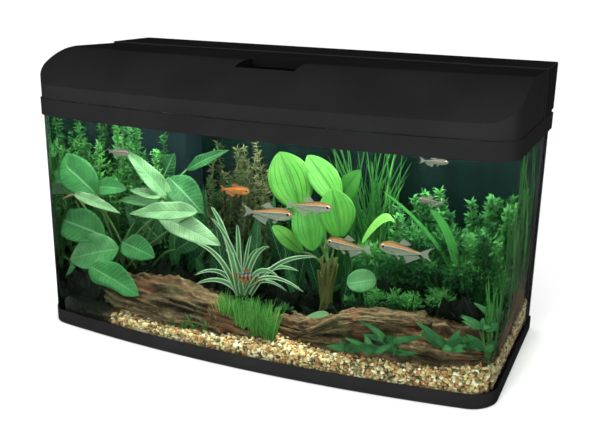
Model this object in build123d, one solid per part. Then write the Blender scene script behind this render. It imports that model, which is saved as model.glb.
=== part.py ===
from build123d import *
from math import asin, cos, pi, radians, sin, sqrt, tan
import os

# A bow-front aquarium with a hinged hood, planted gravel bed and corner filter.
# Millimetres, +Z up, the bowed front facing -Y. The origin is on the ground at
# the middle of the tank's bounding box.

# --- Tank outline ---
LENGTH = 800.0          # base, left to right
SIDE_DEPTH = 336.0      # back to the corner where the bow starts
BOW = 32.0              # how far the middle of the front stands out
CORNER_R = 47.0         # bend radius of the two front corners
TRIM_PROUD = 2.2        # how far the top trim stands out from the base outline
BACK_Y = (SIDE_DEPTH + BOW + TRIM_PROUD) / 2
FRONT_Y = BACK_Y - SIDE_DEPTH - BOW
BOW_RADIUS = ((LENGTH / 2) ** 2 + BOW ** 2) / (2 * BOW)
BOW_CENTRE_Y = FRONT_Y + BOW_RADIUS

# --- Heights ---
BASE_H = 23.4
BASE_FLOOR = 3.0
BASE_WALL = 1.5
MAT = 3.0
FLOOR_GLASS = 8.0
WALL_GLASS = 6.0
SEAM = 0.8              # silicone between two panes
BEAD = 4.0              # silicone fillet inside a corner
GLASS_FOOT = BASE_FLOOR + MAT
FLOOR_TOP = GLASS_FOOT + FLOOR_GLASS
GLASS_TOP = 386.0
TRIM_LOW = 367.6
TRIM_TOP = 394.9
LEDGE_T = 3.0
LEDGE_TOP = GLASS_TOP + LEDGE_T
LEDGE_INSET = 22.0
SKIRT_RISE = 6.0        # the frame's inner skirt ends this far above its outer band
SKIRT_T = 2.0
BRACE_HALF = 20.0
BRACE_LAP = 12.0        # how far the cross brace lies on the ledge at each end
BRACE_T = 3.0
BRACE_HOOK = 8.0        # depth of its hooks inside the ledge

# --- Insets from the base outline ---
GLASS_OUT = BASE_WALL
GLASS_IN = GLASS_OUT + WALL_GLASS
BACK_GLASS_Y = BACK_Y - GLASS_IN

# --- Gravel and wood ---
GRAVEL_GAP = 0.4        # between the gravel and the silicone round it
GRAVEL_SLOPE = (        # x, then the height at the front, the middle and the back
    (-LENGTH / 2, 27.0, 40.0, 50.0),
    (0.0, 34.0, 46.0, 54.0),
    (LENGTH / 2, 50.0, 54.0, 58.0),
)
LEFT_LOG = (            # x, y, z, half height, half width
    (-346, -66, 38, 12, 20),
    (-290, -80, 44, 22, 36),
    (-226, -94, 49, 28, 44),
    (-150, -102, 49, 29, 46),
    (-70, -108, 42, 26, 38),
    (20, -116, 36, 12, 20),
)
RIGHT_LOG = (
    (20, -84, 42, 12, 20),
    (84, -98, 44, 20, 30),
    (150, -104, 50, 34, 38),
    (230, -100, 54, 38, 44),
    (310, -94, 54, 34, 42),
    (374, -78, 52, 16, 24),
)

# --- Hood ---
SKIN = 3.0              # wall of every hood shell
LID_GAP = 0.6           # between the hinged cover and whatever it closes on
COVER_LOW = TRIM_TOP + LID_GAP
CREASE_Z = 418.0        # where the cover's upright face turns into its curved roof
ROOF_Z = 472.5
ROOF_RUN = 120.0        # depth over which the roof curves up to level
ROOF_R = (ROOF_RUN ** 2 + (ROOF_Z - CREASE_Z) ** 2) / (2 * (ROOF_Z - CREASE_Z))
GROOVE = 0.8            # height of the shadow line along the crease
GROOVE_DEPTH = 0.5
HOUSING_HALF = LENGTH / 2 + 2.0
HOUSING_BACK_TOP = 478.0
HOUSING_EDGE_R = 2.5    # rounding of the housing's back edge
HOUSING_END_R = 1.6     # rounding of its two ends
HINGE_Y = 75.0
HINGE_Z = 472.4
HINGE_ROLL = 3.0
SEAM_LEAN = 12.8        # how far the seam leans back between the roll and the trim
HINGE_X = 300.0
EAR_HALF = 15.0
POCKET = 4.2            # room for an ear, measured from the hinge axis
POCKET_WALL = 2.0
PIN_R = 1.5
PIN_PLAY = 0.05
PIN_SEAT = 9.0          # how far a pin goes into the housing beside an ear
LID_FOOT_H = 14.0
LID_FOOT_T = 6.0
LID_FOOT_LONG = 14.0
LID_FOOT_X = 250.0      # front rests, left and right of the middle
LID_FOOT_Y = 20.0       # front end of the rests on the two sides
FAR = 1000.0            # longer than anything here, for cutting tools

# --- Rear housing of the hood ---
SLOT_TOP = 401.2        # top of the hose slot under the housing's back edge
SLOT_REACH = 20.0       # how far the slot runs round onto the ends
PLATE_LOW = 402.0       # floor plate
PLATE_TOP = 404.5
PLATE_GAP = 0.4
BOSS_XS = (-350.0, 0.0, 350.0)
BOSS_YS = (100.0, 168.0)
BOSS_R = 4.0
SCREW_R = 1.5
SCREW_LENGTH = 12.0
SCREW_PLAY = 0.2        # round the shank in the part it clamps
HEAD_R = 3.0
HEAD_T = 1.8
GLAND_X = 250.0
GLAND_Z = 425.0
GLAND_R = 6.0
GLAND_BORE = 3.6
GLAND_SHOULDER_R = 8.5
GLAND_SHOULDER_T = 5.0
BALLAST_LEFT = -200.0
BALLAST_RIGHT = -40.0
BALLAST_Y = 134.0
BALLAST_HALF = 22.0
BALLAST_H = 30.0
BALLAST_CHAMFER = 4.0
FLANGE_LONG = 15.0
FLANGE_HALF = 12.0
FLANGE_T = 2.0
TERMINALS = 5
TERMINAL_PITCH = 10.0
TERMINAL_LEFT = 60.0
TERMINAL_Y = 133.0
TERMINAL_HALF = 9.0
TERMINAL_H = 16.0
TERMINAL_BORE = 2.2
TERMINAL_DEPTH = 10.0

# --- Feeding hatch in the cover ---
HATCH_X = 10.0          # its middle stands a little right of the tank's
HATCH_HALF = 50.0
HATCH_FRONT = -115.0
HATCH_BACK = -57.0
HATCH_FLOOR = 457.5
FLAP_HALF = 48.0
FLAP_FRONT = -93.0
FLAP_T = 3.0
FLAP_LOW = HATCH_FLOOR + 0.5
FLAP_AXIS_Y = -64.0
FLAP_AXIS_Z = FLAP_LOW + FLAP_T / 2
FLAP_ROLL = 1.9
FLAP_PIN_R = 0.8
FLAP_LIP_R = 1.2
FLAP_PIN_SEAT = 2.0     # how far its pin goes into the cover at each end
FINGER_GAP = 3.0        # between the flap's free edge and the finger well
FINGER_DEPTH = 3.0
FEED_SIDE = 6.0         # how far the flap covers the feeding opening's sides
FEED_FRONT = 4.0
FEED_BACK = 5.0

# --- Lamp unit in the cover ---
TRAY_HALF = 335.0
TRAY_FRONT = -24.0
TRAY_BACK = 62.0
TRAY_LOW = 412.5
TRAY_TOP = 452.0
TRAY_T = 2.0
TRAY_CHAMFER = 8.0
TUBE_R = 13.0
TUBE_HALF = 295.0
TUBE_YS = (0.0, 38.0)
TUBE_Z = 431.0
SOCKET_WALL = 2.5
SOCKET_LAP = 14.0       # how far a socket grips its tube
SOCKET_TAIL = 20.0      # how far it stands out beyond the tube
SOCKET_POST = 6.0       # half width of the post it hangs on
SPLASH_T = 2.0
SPLASH_RIM = 6.0        # how far the splash cover's rim comes up round the tray
POST_XS = (-240.0, 240.0)
POST_Y = 19.0
POST_R = 5.0

# --- Corner filter ---
FILTER_LEFT = -384.0
FILTER_RIGHT = -276.0
FILTER_FRONT = 112.0
FILTER_BACK = 173.6
FILTER_LOW = 64.0
FILTER_TOP = 380.0
FILTER_WALL = 2.5
DIVIDER_X = -326.0
SHELF_Z = 262.0
PASSAGE_HALF = 20.0     # openings between the chambers, along Y
PASSAGE_LOW = FILTER_LOW + 8.0
PASSAGE_TOP = FILTER_LOW + 24.0
SHELF_SLOT_NEAR = 4.0   # slot in the pump shelf, measured from the divider
SHELF_SLOT_FAR = 10.0
INTAKE_SLOTS = 8
INTAKE_ROWS = (
    (FILTER_LOW + 30.0, FILTER_LOW + 60.0),
    (FILTER_TOP - 60.0, FILTER_TOP - 25.0),
)
STRIP_INSET = 14.0      # silicone strips behind the filter
STRIP_W = 8.0
STRIP_LOW = FILTER_LOW + 10.0
STRIP_TOP = FILTER_TOP - 15.0
MEDIA_GAP = 0.6         # round the sponges
MEDIA_SPACE = 1.0       # between one sponge and the next
MEDIA_LEVELS = (68.0, 151.0, 237.0, 301.0)
PUMP_X = -300.0
PUMP_Y = 143.0
PUMP_LOW = SHELF_Z + FILTER_WALL + 5.0
PUMP_R = 18.0
PUMP_FOOT_R = 3.0
PUMP_FOOT_OFF = 10.0
WELL_R = 6.5
WELL_LOW = PUMP_LOW + 6.0
ROTOR_R = 6.0
ROTOR_LOW = PUMP_LOW + 8.0
SHAFT_R = 1.0
SHAFT_LOW = PUMP_LOW + 2.0
VOLUTE_LOW = 330.0
VOLUTE_TOP = 352.0
VOLUTE_WALL = 3.0
VOLUTE_COVER = 3.0
EYE_R = 8.0
BRIDGE_HALF = 2.0
SHAFT_TOP = VOLUTE_TOP + 2.0
DISC_R = 11.0
DISC_LOW = VOLUTE_LOW + 1.0
DISC_T = 2.0
VANES = 4
VANE_IN = 1.5
VANE_OUT = 13.0
VANE_HALF = 0.8
VANE_TOP = VOLUTE_TOP - 3.0
HUB_R = 2.6
OUTLET_R = 9.0
OUTLET_WALL = 2.0
OUTLET_PLAY = 0.6       # round the pipe in the filter's wall
OUTLET_Z = 341.0
OUTLET_END_Y = 94.0
NOZZLE_WALL = 2.5
NOZZLE_NECK_Y = OUTLET_END_Y - 4.0
NOZZLE_GRIP = 16.0      # length of the sleeve on the pipe
SPOUT = 26.0
SPOUT_WIDE = 16.0
SPOUT_TALL = 5.5
SPOUT_WALL = 2.0
HEATER_R = 10.5
HEATER_LOW = FILTER_LOW + 12.0
HEATER_LONG = 160.0
HEATER_CAP_R = 12.0
HEATER_CAP_H = 22.0

# --- Light switch in the left end of the rear housing ---
ROCKER_R = 12.0
ROCKER_FACE = 6.0
ROCKER_TILT = 8.0
ROCKER_HALF = 6.7
ROCKER_BACK = 3.0       # how far the drum goes behind its axis
ROCKER_PIN_R = 1.2
ROCKER_PIN_HALF = 8.8
SWITCH_GAP = 0.3
BEZEL_HALF_Y = 10.0
BEZEL_HALF_Z = 15.0
BEZEL_DEPTH = 10.0
SWITCH_Y = 135.0
SWITCH_Z = 440.0
SWITCH_X = -HOUSING_HALF + ROCKER_FACE * cos(radians(ROCKER_TILT))


def plan(inset, back=None):
    """The tank's outline seen from above, moved inwards; back sets another back edge."""
    half = LENGTH / 2 - inset
    back = BACK_Y - inset if back is None else back
    radius = BOW_RADIUS - inset
    corner_y = BOW_CENTRE_Y - sqrt(radius ** 2 - half ** 2)
    bow = ThreePointArc((-half, corner_y), (0, BOW_CENTRE_Y - radius), (half, corner_y))
    walls = Polyline((half, corner_y), (half, back), (-half, back), (-half, corner_y))
    outline = make_face(Curve() + [bow, walls])
    corners = outline.vertices().sort_by(Axis.Y)[:2]
    return fillet(corners, CORNER_R - inset)


def slab(low, high, inset, back=None):
    """The outline as an upright block."""
    return extrude(Pos(0, 0, low) * plan(inset, back), amount=high - low)


def ring(low, high, outer, inner):
    """An upright band that follows the outline between two insets."""
    return slab(low, high, outer) - slab(low - 1, high + 1, inner)


def block(x, y, z):
    """A box given by its ranges along X, Y and Z."""
    size = [b - a for a, b in (x, y, z)]
    middle = [(a + b) / 2 for a, b in (x, y, z)]
    return Pos(*middle) * Box(*size)


def rod(start, axis, radius, length):
    """A cylinder from a point along +X, +Y or +Z."""
    turn = {"X": Rot(0, 90, 0), "Y": Rot(-90, 0, 0), "Z": Rot(0, 0, 0)}[axis]
    tool = Cylinder(radius, length, align=(Align.CENTER, Align.CENTER, Align.MIN))
    return Pos(*start) * turn * tool


def bar(points, low_x, high_x):
    """A polygon in Y and Z, drawn out along X."""
    face = make_face(Plane.YZ * Polyline(*points, close=True))
    return Pos(low_x, 0, 0) * extrude(face, amount=high_x - low_x, dir=(1, 0, 0))


# --- Glass box ---
def base_tray():
    """Shallow plastic tray that the glass stands in."""
    wall = ring(0, BASE_H, 0, BASE_WALL)
    floor = slab(0, BASE_FLOOR, 0)
    return wall + floor


def foam_mat():
    return slab(BASE_FLOOR, GLASS_FOOT, BASE_WALL + 0.3)


def floor_glass():
    return slab(GLASS_FOOT, FLOOR_TOP, GLASS_IN + SEAM)


def bent_glass():
    """One pane bent round the front and both sides, open at the back."""
    outside = slab(GLASS_FOOT, GLASS_TOP, GLASS_OUT)
    return outside - slab(GLASS_FOOT - 1, GLASS_TOP + 1, GLASS_IN, back=BACK_Y + 10)


def back_glass():
    half = LENGTH / 2 - GLASS_IN - SEAM
    return block((-half, half), (BACK_GLASS_Y, BACK_Y - GLASS_OUT), (GLASS_FOOT, GLASS_TOP))


def floor_silicone():
    """The seam round the floor pane with its fillet on top."""
    seam = ring(GLASS_FOOT, FLOOR_TOP, GLASS_IN, GLASS_IN + SEAM)
    hollow = loft([
        Pos(0, 0, FLOOR_TOP) * plan(GLASS_IN + SEAM + BEAD),
        Pos(0, 0, FLOOR_TOP + BEAD) * plan(GLASS_IN + 0.2),
    ])
    return seam + (slab(FLOOR_TOP, FLOOR_TOP + BEAD, GLASS_IN) - hollow)


def corner_silicone():
    """The two upright seams beside the back pane, each with a fillet in the corner."""
    inner = LENGTH / 2 - GLASS_IN
    seams = []
    for side in (-1, 1):
        x = sorted((side * inner, side * (inner - SEAM)))
        seam = block(x, (BACK_GLASS_Y, BACK_Y - GLASS_OUT), (GLASS_FOOT, GLASS_TOP))
        corner = Polyline(
            (side * inner, BACK_GLASS_Y),
            (side * (inner - SEAM - BEAD), BACK_GLASS_Y),
            (side * inner, BACK_GLASS_Y - SEAM - BEAD),
            close=True,
        )
        low = FLOOR_TOP + BEAD
        bead = extrude(Pos(0, 0, low) * make_face(corner), amount=GLASS_TOP - low)
        seams.append(seam + bead)
    return Compound(children=seams)


def back_film():
    """Dark sheet stuck behind the back pane."""
    half = LENGTH / 2 - 3
    face_y = BACK_Y - GLASS_OUT
    return block((-half, half), (face_y, face_y + 0.5), (BASE_H + 0.5, TRIM_LOW - 0.5))


def top_trim():
    """Frame over the top of the glass: outer band, ledge and inner skirt."""
    band = slab(TRIM_LOW, TRIM_TOP, -TRIM_PROUD, back=BACK_Y)
    band -= slab(TRIM_LOW - 1, GLASS_TOP, GLASS_OUT - 0.1, back=BACK_Y - GLASS_OUT + 0.1)
    band -= slab(LEDGE_TOP, TRIM_TOP + 1, 1.0)
    band -= slab(TRIM_LOW - 1, TRIM_TOP + 1, LEDGE_INSET)
    skirt = ring(TRIM_LOW + SKIRT_RISE, GLASS_TOP, GLASS_IN + 0.2, GLASS_IN + 0.2 + SKIRT_T)
    clear_of_corners = BACK_GLASS_Y - SEAM - BEAD - 1
    skirt -= block((-FAR, FAR), (clear_of_corners, FAR), (0, GLASS_TOP))
    top = band.edges().filter_by(lambda e: abs(e.center().Z - TRIM_TOP) < 0.01)
    return fillet(outer_only(top), 0.8) + skirt


def outer_only(edges):
    """Of two edges side by side, keeps the one further out."""
    keep = []
    for edge in edges:
        middle = edge.position_at(0.5)
        reach = max(abs(middle.X) - LENGTH / 2, FRONT_Y - middle.Y)
        if reach > TRIM_PROUD - 0.05:
            keep.append(edge)
    return keep


def cross_brace():
    """Strap over the middle of the opening, hooked on the frame's front and back ledges."""
    front = FRONT_Y + LEDGE_INSET
    back = BACK_Y - LEDGE_INSET
    x = (-BRACE_HALF, BRACE_HALF)
    strap = block(x, (front - BRACE_LAP, back + BRACE_LAP), (LEDGE_TOP, LEDGE_TOP + BRACE_T))
    for y in (front + 0.5, back - 0.5 - BRACE_T):
        strap += block(x, (y, y + BRACE_T), (LEDGE_TOP - BRACE_HOOK, LEDGE_TOP))
    return strap


# --- Gravel and wood ---
def gravel_bed():
    """Gravel fill, rising from the front to the back and from left to right."""
    bed = slab(FLOOR_TOP, TRIM_LOW, GLASS_IN + SEAM + BEAD + GRAVEL_GAP)
    sections = []
    for x, front, middle, back in GRAVEL_SLOPE:
        outline = Polyline(
            (FRONT_Y - 1, 0), (FRONT_Y - 1, front), (0, middle), (BACK_Y, back), (BACK_Y, 0), close=True)
        sections.append(Plane.YZ.offset(x) * make_face(outline))
    return bed & loft(sections, ruled=True)


def log(stations):
    """A log lofted through upright ellipses."""
    sections = []
    for x, y, z, tall, wide in stations:
        sections.append(Plane(origin=(x, y, z), x_dir=(0, 1, 0), z_dir=(1, 0, 0)) * Ellipse(wide, tall))
    return loft(sections)


# --- Corner filter ---
def filter_housing():
    """Open-topped box with a divider, a pump shelf, intake slots and an outlet hole."""
    wall = FILTER_WALL
    x = (FILTER_LEFT, FILTER_RIGHT)
    y = (FILTER_FRONT, FILTER_BACK)
    box = block(x, y, (FILTER_LOW, FILTER_TOP))
    inner_y = (y[0] + wall, y[1] - wall)
    inside = ((x[0] + wall, DIVIDER_X), (DIVIDER_X + wall, x[1] - wall))
    for span in inside:
        box -= block(span, inner_y, (FILTER_LOW + wall, FILTER_TOP + 1))
    box += block(inside[1], inner_y, (SHELF_Z, SHELF_Z + wall))
    passage_y = (PUMP_Y - PASSAGE_HALF, PUMP_Y + PASSAGE_HALF)
    box -= block((DIVIDER_X - 1, DIVIDER_X + wall + 1), passage_y, (PASSAGE_LOW, PASSAGE_TOP))
    slot_x = (DIVIDER_X + wall + SHELF_SLOT_NEAR, DIVIDER_X + wall + SHELF_SLOT_FAR)
    box -= block(slot_x, passage_y, (SHELF_Z - 1, SHELF_Z + wall + 1))
    pitch = (DIVIDER_X - FILTER_LEFT - 2 * wall) / INTAKE_SLOTS
    for row in INTAKE_ROWS:
        for i in range(INTAKE_SLOTS):
            left = FILTER_LEFT + wall + (i + 0.25) * pitch
            box -= block((left, left + pitch / 2), (y[0] - 1, y[0] + wall + 1), row)
    return box - rod((PUMP_X, y[0] - 1, OUTLET_Z), "Y", OUTLET_R + OUTLET_PLAY, wall + 2)


def filter_silicone():
    """Two strips that hold the filter on the back pane."""
    strips = []
    for x in (FILTER_LEFT + STRIP_INSET, FILTER_RIGHT - STRIP_INSET - STRIP_W):
        strips.append(block((x, x + STRIP_W), (FILTER_BACK, BACK_GLASS_Y), (STRIP_LOW, STRIP_TOP)))
    return Compound(children=strips)


def filter_block(level):
    """The sponge at a level of the filter's left chamber, counted from below."""
    gap = FILTER_WALL + MEDIA_GAP
    x = (FILTER_LEFT + gap, DIVIDER_X - MEDIA_GAP)
    y = (FILTER_FRONT + gap, FILTER_BACK - gap)
    return block(x, y, (MEDIA_LEVELS[level], MEDIA_LEVELS[level + 1] - MEDIA_SPACE))


def pump_body():
    """Motor with the rotor's well, under an open volute with its outlet pipe."""
    centre = (PUMP_X, PUMP_Y)
    body = rod((*centre, PUMP_LOW), "Z", PUMP_R, VOLUTE_LOW - PUMP_LOW)
    body += rod((*centre, VOLUTE_LOW), "Z", PUMP_R, VOLUTE_TOP - VOLUTE_LOW)
    body += rod((PUMP_X, OUTLET_END_Y, OUTLET_Z), "Y", OUTLET_R, PUMP_Y - OUTLET_END_Y)
    body -= rod((*centre, WELL_LOW), "Z", WELL_R, FAR)
    body -= rod((*centre, VOLUTE_LOW), "Z", PUMP_R - VOLUTE_WALL, FAR)
    pipe_bore = OUTLET_R - OUTLET_WALL
    body -= rod((PUMP_X, OUTLET_END_Y - 1, OUTLET_Z), "Y", pipe_bore, PUMP_Y - OUTLET_END_Y + 1)
    return body - rod((*centre, SHAFT_LOW), "Z", SHAFT_R, FAR)


def pump_cover():
    """Volute cover with the suction eye and the shaft's upper bearing on a bridge."""
    centre = (PUMP_X, PUMP_Y)
    cover = rod((*centre, VOLUTE_TOP), "Z", PUMP_R, VOLUTE_COVER)
    cover -= rod((*centre, VOLUTE_TOP - 1), "Z", EYE_R, FAR)
    bridge_x = (PUMP_X - EYE_R - 2, PUMP_X + EYE_R + 2)
    bridge_y = (PUMP_Y - BRIDGE_HALF, PUMP_Y + BRIDGE_HALF)
    cover += block(bridge_x, bridge_y, (VOLUTE_TOP, VOLUTE_TOP + VOLUTE_COVER))
    return cover - rod((*centre, SHAFT_LOW), "Z", SHAFT_R, SHAFT_TOP - SHAFT_LOW)


def impeller_shaft():
    return rod((PUMP_X, PUMP_Y, SHAFT_LOW), "Z", SHAFT_R, SHAFT_TOP - SHAFT_LOW)


def impeller():
    """Magnet rotor with four vanes on a disc, turning on the shaft."""
    centre = (PUMP_X, PUMP_Y)
    wheel = rod((*centre, ROTOR_LOW), "Z", ROTOR_R, DISC_LOW - ROTOR_LOW)
    wheel += rod((*centre, DISC_LOW), "Z", DISC_R, DISC_T)
    wheel += rod((*centre, DISC_LOW), "Z", HUB_R, VANE_TOP - DISC_LOW)
    for i in range(VANES):
        vane = block((VANE_IN, VANE_OUT), (-VANE_HALF, VANE_HALF), (DISC_LOW + DISC_T / 2, VANE_TOP))
        wheel += Pos(PUMP_X, PUMP_Y, 0) * Rot(0, 0, 360 * i / VANES) * vane
    return wheel - rod((*centre, SHAFT_LOW), "Z", SHAFT_R + PIN_PLAY, FAR)


def pump_feet():
    low = SHELF_Z + FILTER_WALL
    feet = []
    for dx in (-PUMP_FOOT_OFF, PUMP_FOOT_OFF):
        for dy in (-PUMP_FOOT_OFF, PUMP_FOOT_OFF):
            feet.append(rod((PUMP_X + dx, PUMP_Y + dy, low), "Z", PUMP_FOOT_R, PUMP_LOW - low))
    return Compound(children=feet)


def outlet_nozzle():
    """Sleeve on the outlet pipe with a flattened spout that points down and forwards."""
    outer_r = OUTLET_R + NOZZLE_WALL
    sleeve = rod((PUMP_X, NOZZLE_NECK_Y, OUTLET_Z), "Y", outer_r, NOZZLE_GRIP)
    neck = Plane(origin=(PUMP_X, NOZZLE_NECK_Y, OUTLET_Z), x_dir=(1, 0, 0), z_dir=(0, -1, 0))
    mouth = neck.offset(SPOUT)
    outside = loft([neck * Circle(outer_r), mouth * Ellipse(SPOUT_WIDE, SPOUT_TALL)])
    hole = mouth * Ellipse(SPOUT_WIDE - SPOUT_WALL, SPOUT_TALL - SPOUT_WALL)
    inside = loft([neck * Circle(OUTLET_R), hole])
    bore = rod((PUMP_X, NOZZLE_NECK_Y - 1, OUTLET_Z), "Y", OUTLET_R + PIN_PLAY, FAR)
    return sleeve - bore + (outside - inside)


def heater_tube():
    return rod((PUMP_X, PUMP_Y, HEATER_LOW), "Z", HEATER_R, HEATER_LONG)


def heater_cap():
    return rod((PUMP_X, PUMP_Y, HEATER_LOW + HEATER_LONG), "Z", HEATER_CAP_R, HEATER_CAP_H)


# --- Rear housing of the hood ---
def seam_y(z):
    """Front face of the rear housing at a height."""
    return HINGE_Y - HINGE_ROLL + SEAM_LEAN * (HINGE_Z - z) / (HINGE_Z - TRIM_TOP)


def rear_housing():
    """Fixed rear part of the hood with the hinge roll along its front edge."""
    half = HOUSING_HALF
    roll = cos(radians(45)) * HINGE_ROLL
    nose = ThreePointArc(
        (HINGE_Y - HINGE_ROLL, HINGE_Z), (HINGE_Y - roll, HINGE_Z + roll), (HINGE_Y, HINGE_Z + HINGE_ROLL))
    rest = Polyline(
        (HINGE_Y, HINGE_Z + HINGE_ROLL), (BACK_Y, HOUSING_BACK_TOP), (BACK_Y, TRIM_TOP),
        (seam_y(TRIM_TOP), TRIM_TOP), (HINGE_Y - HINGE_ROLL, HINGE_Z))
    profile = Plane.YZ * make_face(Curve() + [nose, rest])
    outside = extrude(Pos(-half, 0, 0) * profile, amount=2 * half, dir=(1, 0, 0))
    back = outside.edges().filter_by(Axis.X).sort_by(Axis.Z)[-1]
    outside = fillet(back, HOUSING_EDGE_R)
    ends = outside.edges().filter_by(lambda e: abs(abs(e.center().X) - half) < 0.01)
    ends = ends.filter_by(lambda e: e.center().Z > TRIM_TOP + 1 and e.center().Y < BACK_Y - 4)
    outside = fillet(ends, HOUSING_END_R)
    below = TRIM_TOP - 5
    under_roll = HINGE_Z - 2 * HINGE_ROLL
    inside = bar([
        (seam_y(below) + SKIN, below),
        (seam_y(under_roll) + SKIN, under_roll),
        (HINGE_Y + HINGE_ROLL + POCKET_WALL, HINGE_Z),
        (BACK_Y - SKIN, HOUSING_BACK_TOP - SKIN),
        (BACK_Y - SKIN, below),
    ], -half + SKIN, half - SKIN)
    shell = outside - inside
    for x, y in boss_places():
        boss = rod((x, y, PLATE_TOP), "Z", BOSS_R, HINGE_Z + HINGE_ROLL - PLATE_TOP)
        shell += boss - rod((x, y, PLATE_TOP - 1), "Z", SCREW_R, SCREW_LENGTH + 1)
    for x in (-HINGE_X, HINGE_X):
        shell = ear_pocket(shell, x)
    shell -= block((-FAR, FAR), (BACK_Y - SLOT_REACH, FAR), (TRIM_TOP - 1, SLOT_TOP))
    shell -= rod((GLAND_X, BACK_Y - SKIN - 1, GLAND_Z), "Y", GLAND_R, SKIN + 2)
    return shell - bezel_block(-half - 1, -half + SKIN + 1)


def ear_pocket(shell, x):
    """Cuts the room for one ear of the cover and closes it with a wall at the back."""
    room = EAR_HALF + LID_GAP
    shell -= block((x - room, x + room), (HINGE_Y - POCKET, HINGE_Y + POCKET),
                   (HINGE_Z - POCKET, HINGE_Z + POCKET))
    wide = EAR_HALF + SKIN
    shell += block((x - wide, x + wide), (HINGE_Y + POCKET, HINGE_Y + POCKET + POCKET_WALL),
                   (HINGE_Z - POCKET - POCKET_WALL, HINGE_Z + HINGE_ROLL - 0.5))
    reach = EAR_HALF + PIN_SEAT + 1
    return shell - rod((x - reach, HINGE_Y, HINGE_Z), "X", PIN_R, 2 * reach)


def bezel_block(low_x, high_x):
    """The switch frame's outline in the left end wall, between two places along X."""
    y = (SWITCH_Y - BEZEL_HALF_Y, SWITCH_Y + BEZEL_HALF_Y)
    return block((low_x, high_x), y, (SWITCH_Z - BEZEL_HALF_Z, SWITCH_Z + BEZEL_HALF_Z))


def boss_places():
    """Screw positions of the rear housing's floor plate."""
    return [(x, y) for x in BOSS_XS for y in BOSS_YS]


def housing_floor():
    """Plate that closes the rear housing from below."""
    low_y = seam_y(PLATE_LOW) + SKIN + PLATE_GAP
    half = HOUSING_HALF - SKIN - PLATE_GAP
    plate = block((-half, half), (low_y, BACK_Y - SKIN - PLATE_GAP), (PLATE_LOW, PLATE_TOP))
    for x, y in boss_places():
        plate -= rod((x, y, PLATE_LOW - 1), "Z", SCREW_R + SCREW_PLAY, FAR)
    return plate


def screw(x, y, head_z):
    """Pan-head screw that points up from under its head."""
    head = rod((x, y, head_z - HEAD_T), "Z", HEAD_R, HEAD_T)
    return head + rod((x, y, head_z), "Z", SCREW_R, SCREW_LENGTH)


def housing_screws():
    return Compound(children=[screw(x, y, PLATE_LOW) for x, y in boss_places()])


def ballast():
    """Control gear for the two tubes: a long case with end flanges."""
    y = (BALLAST_Y - BALLAST_HALF, BALLAST_Y + BALLAST_HALF)
    case = block((BALLAST_LEFT, BALLAST_RIGHT), y, (PLATE_TOP, PLATE_TOP + BALLAST_H))
    top = case.edges().filter_by(Axis.X).group_by(Axis.Z)[-1]
    case = chamfer(top, BALLAST_CHAMFER)
    y = (BALLAST_Y - FLANGE_HALF, BALLAST_Y + FLANGE_HALF)
    for x in (BALLAST_LEFT - FLANGE_LONG, BALLAST_RIGHT):
        case += block((x, x + FLANGE_LONG), y, (PLATE_TOP, PLATE_TOP + FLANGE_T))
    return case


def terminal_block():
    """Strip with a row of screw holes along its top."""
    x = (TERMINAL_LEFT, TERMINAL_LEFT + TERMINALS * TERMINAL_PITCH)
    y = (TERMINAL_Y - TERMINAL_HALF, TERMINAL_Y + TERMINAL_HALF)
    top = PLATE_TOP + TERMINAL_H
    strip = block(x, y, (PLATE_TOP, top))
    for i in range(TERMINALS):
        hole_x = TERMINAL_LEFT + (i + 0.5) * TERMINAL_PITCH
        strip -= rod((hole_x, TERMINAL_Y, top - TERMINAL_DEPTH), "Z", TERMINAL_BORE, TERMINAL_DEPTH + 1)
    return strip


def cable_gland():
    """Bushing in the back wall, flush outside, with a shoulder inside."""
    gland = rod((GLAND_X, BACK_Y - SKIN, GLAND_Z), "Y", GLAND_R, SKIN)
    shoulder_y = BACK_Y - SKIN - GLAND_SHOULDER_T
    gland += rod((GLAND_X, shoulder_y, GLAND_Z), "Y", GLAND_SHOULDER_R, GLAND_SHOULDER_T)
    return gland - rod((GLAND_X, shoulder_y - 1, GLAND_Z), "Y", GLAND_BORE, FAR)


def hinge_pins():
    pins = []
    reach = EAR_HALF + PIN_SEAT
    for x in (-HINGE_X, HINGE_X):
        pins.append(rod((x - reach, HINGE_Y, HINGE_Z), "X", PIN_R, 2 * reach))
    return Compound(children=pins)


def switch_bezel():
    """Frame in the left end wall with a round-bottomed well for the rocker."""
    frame = bezel_block(-HOUSING_HALF, -HOUSING_HALF + BEZEL_DEPTH)
    well = ROCKER_HALF + SWITCH_GAP
    frame -= rod((SWITCH_X, SWITCH_Y - well, SWITCH_Z), "Y", ROCKER_R + SWITCH_GAP, 2 * well)
    seat = ROCKER_PIN_HALF + 0.2
    return frame - rod((SWITCH_X, SWITCH_Y - seat, SWITCH_Z), "Y", ROCKER_PIN_R + PIN_PLAY, 2 * seat)


def light_switch():
    """Rocker: a slice of a drum with a ridge across its face, on two stub pins."""
    drum = rod((SWITCH_X, SWITCH_Y - ROCKER_HALF, SWITCH_Z), "Y", ROCKER_R, 2 * ROCKER_HALF)
    reach = 2 * ROCKER_R
    slope = reach * tan(radians(ROCKER_TILT))
    face = Polyline(
        (-ROCKER_FACE, 0), (-ROCKER_FACE + slope, reach), (ROCKER_BACK, reach),
        (ROCKER_BACK, -reach), (-ROCKER_FACE + slope, -reach), close=True,
    )
    wedge = extrude(make_face(Plane.XZ * face), amount=FAR, both=True)
    wedge = Pos(SWITCH_X, SWITCH_Y, SWITCH_Z) * Rot(0, ROCKER_TILT, 0) * wedge
    pins = rod((SWITCH_X, SWITCH_Y - ROCKER_PIN_HALF, SWITCH_Z), "Y", ROCKER_PIN_R, 2 * ROCKER_PIN_HALF)
    return (drum & wedge) + pins


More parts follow.
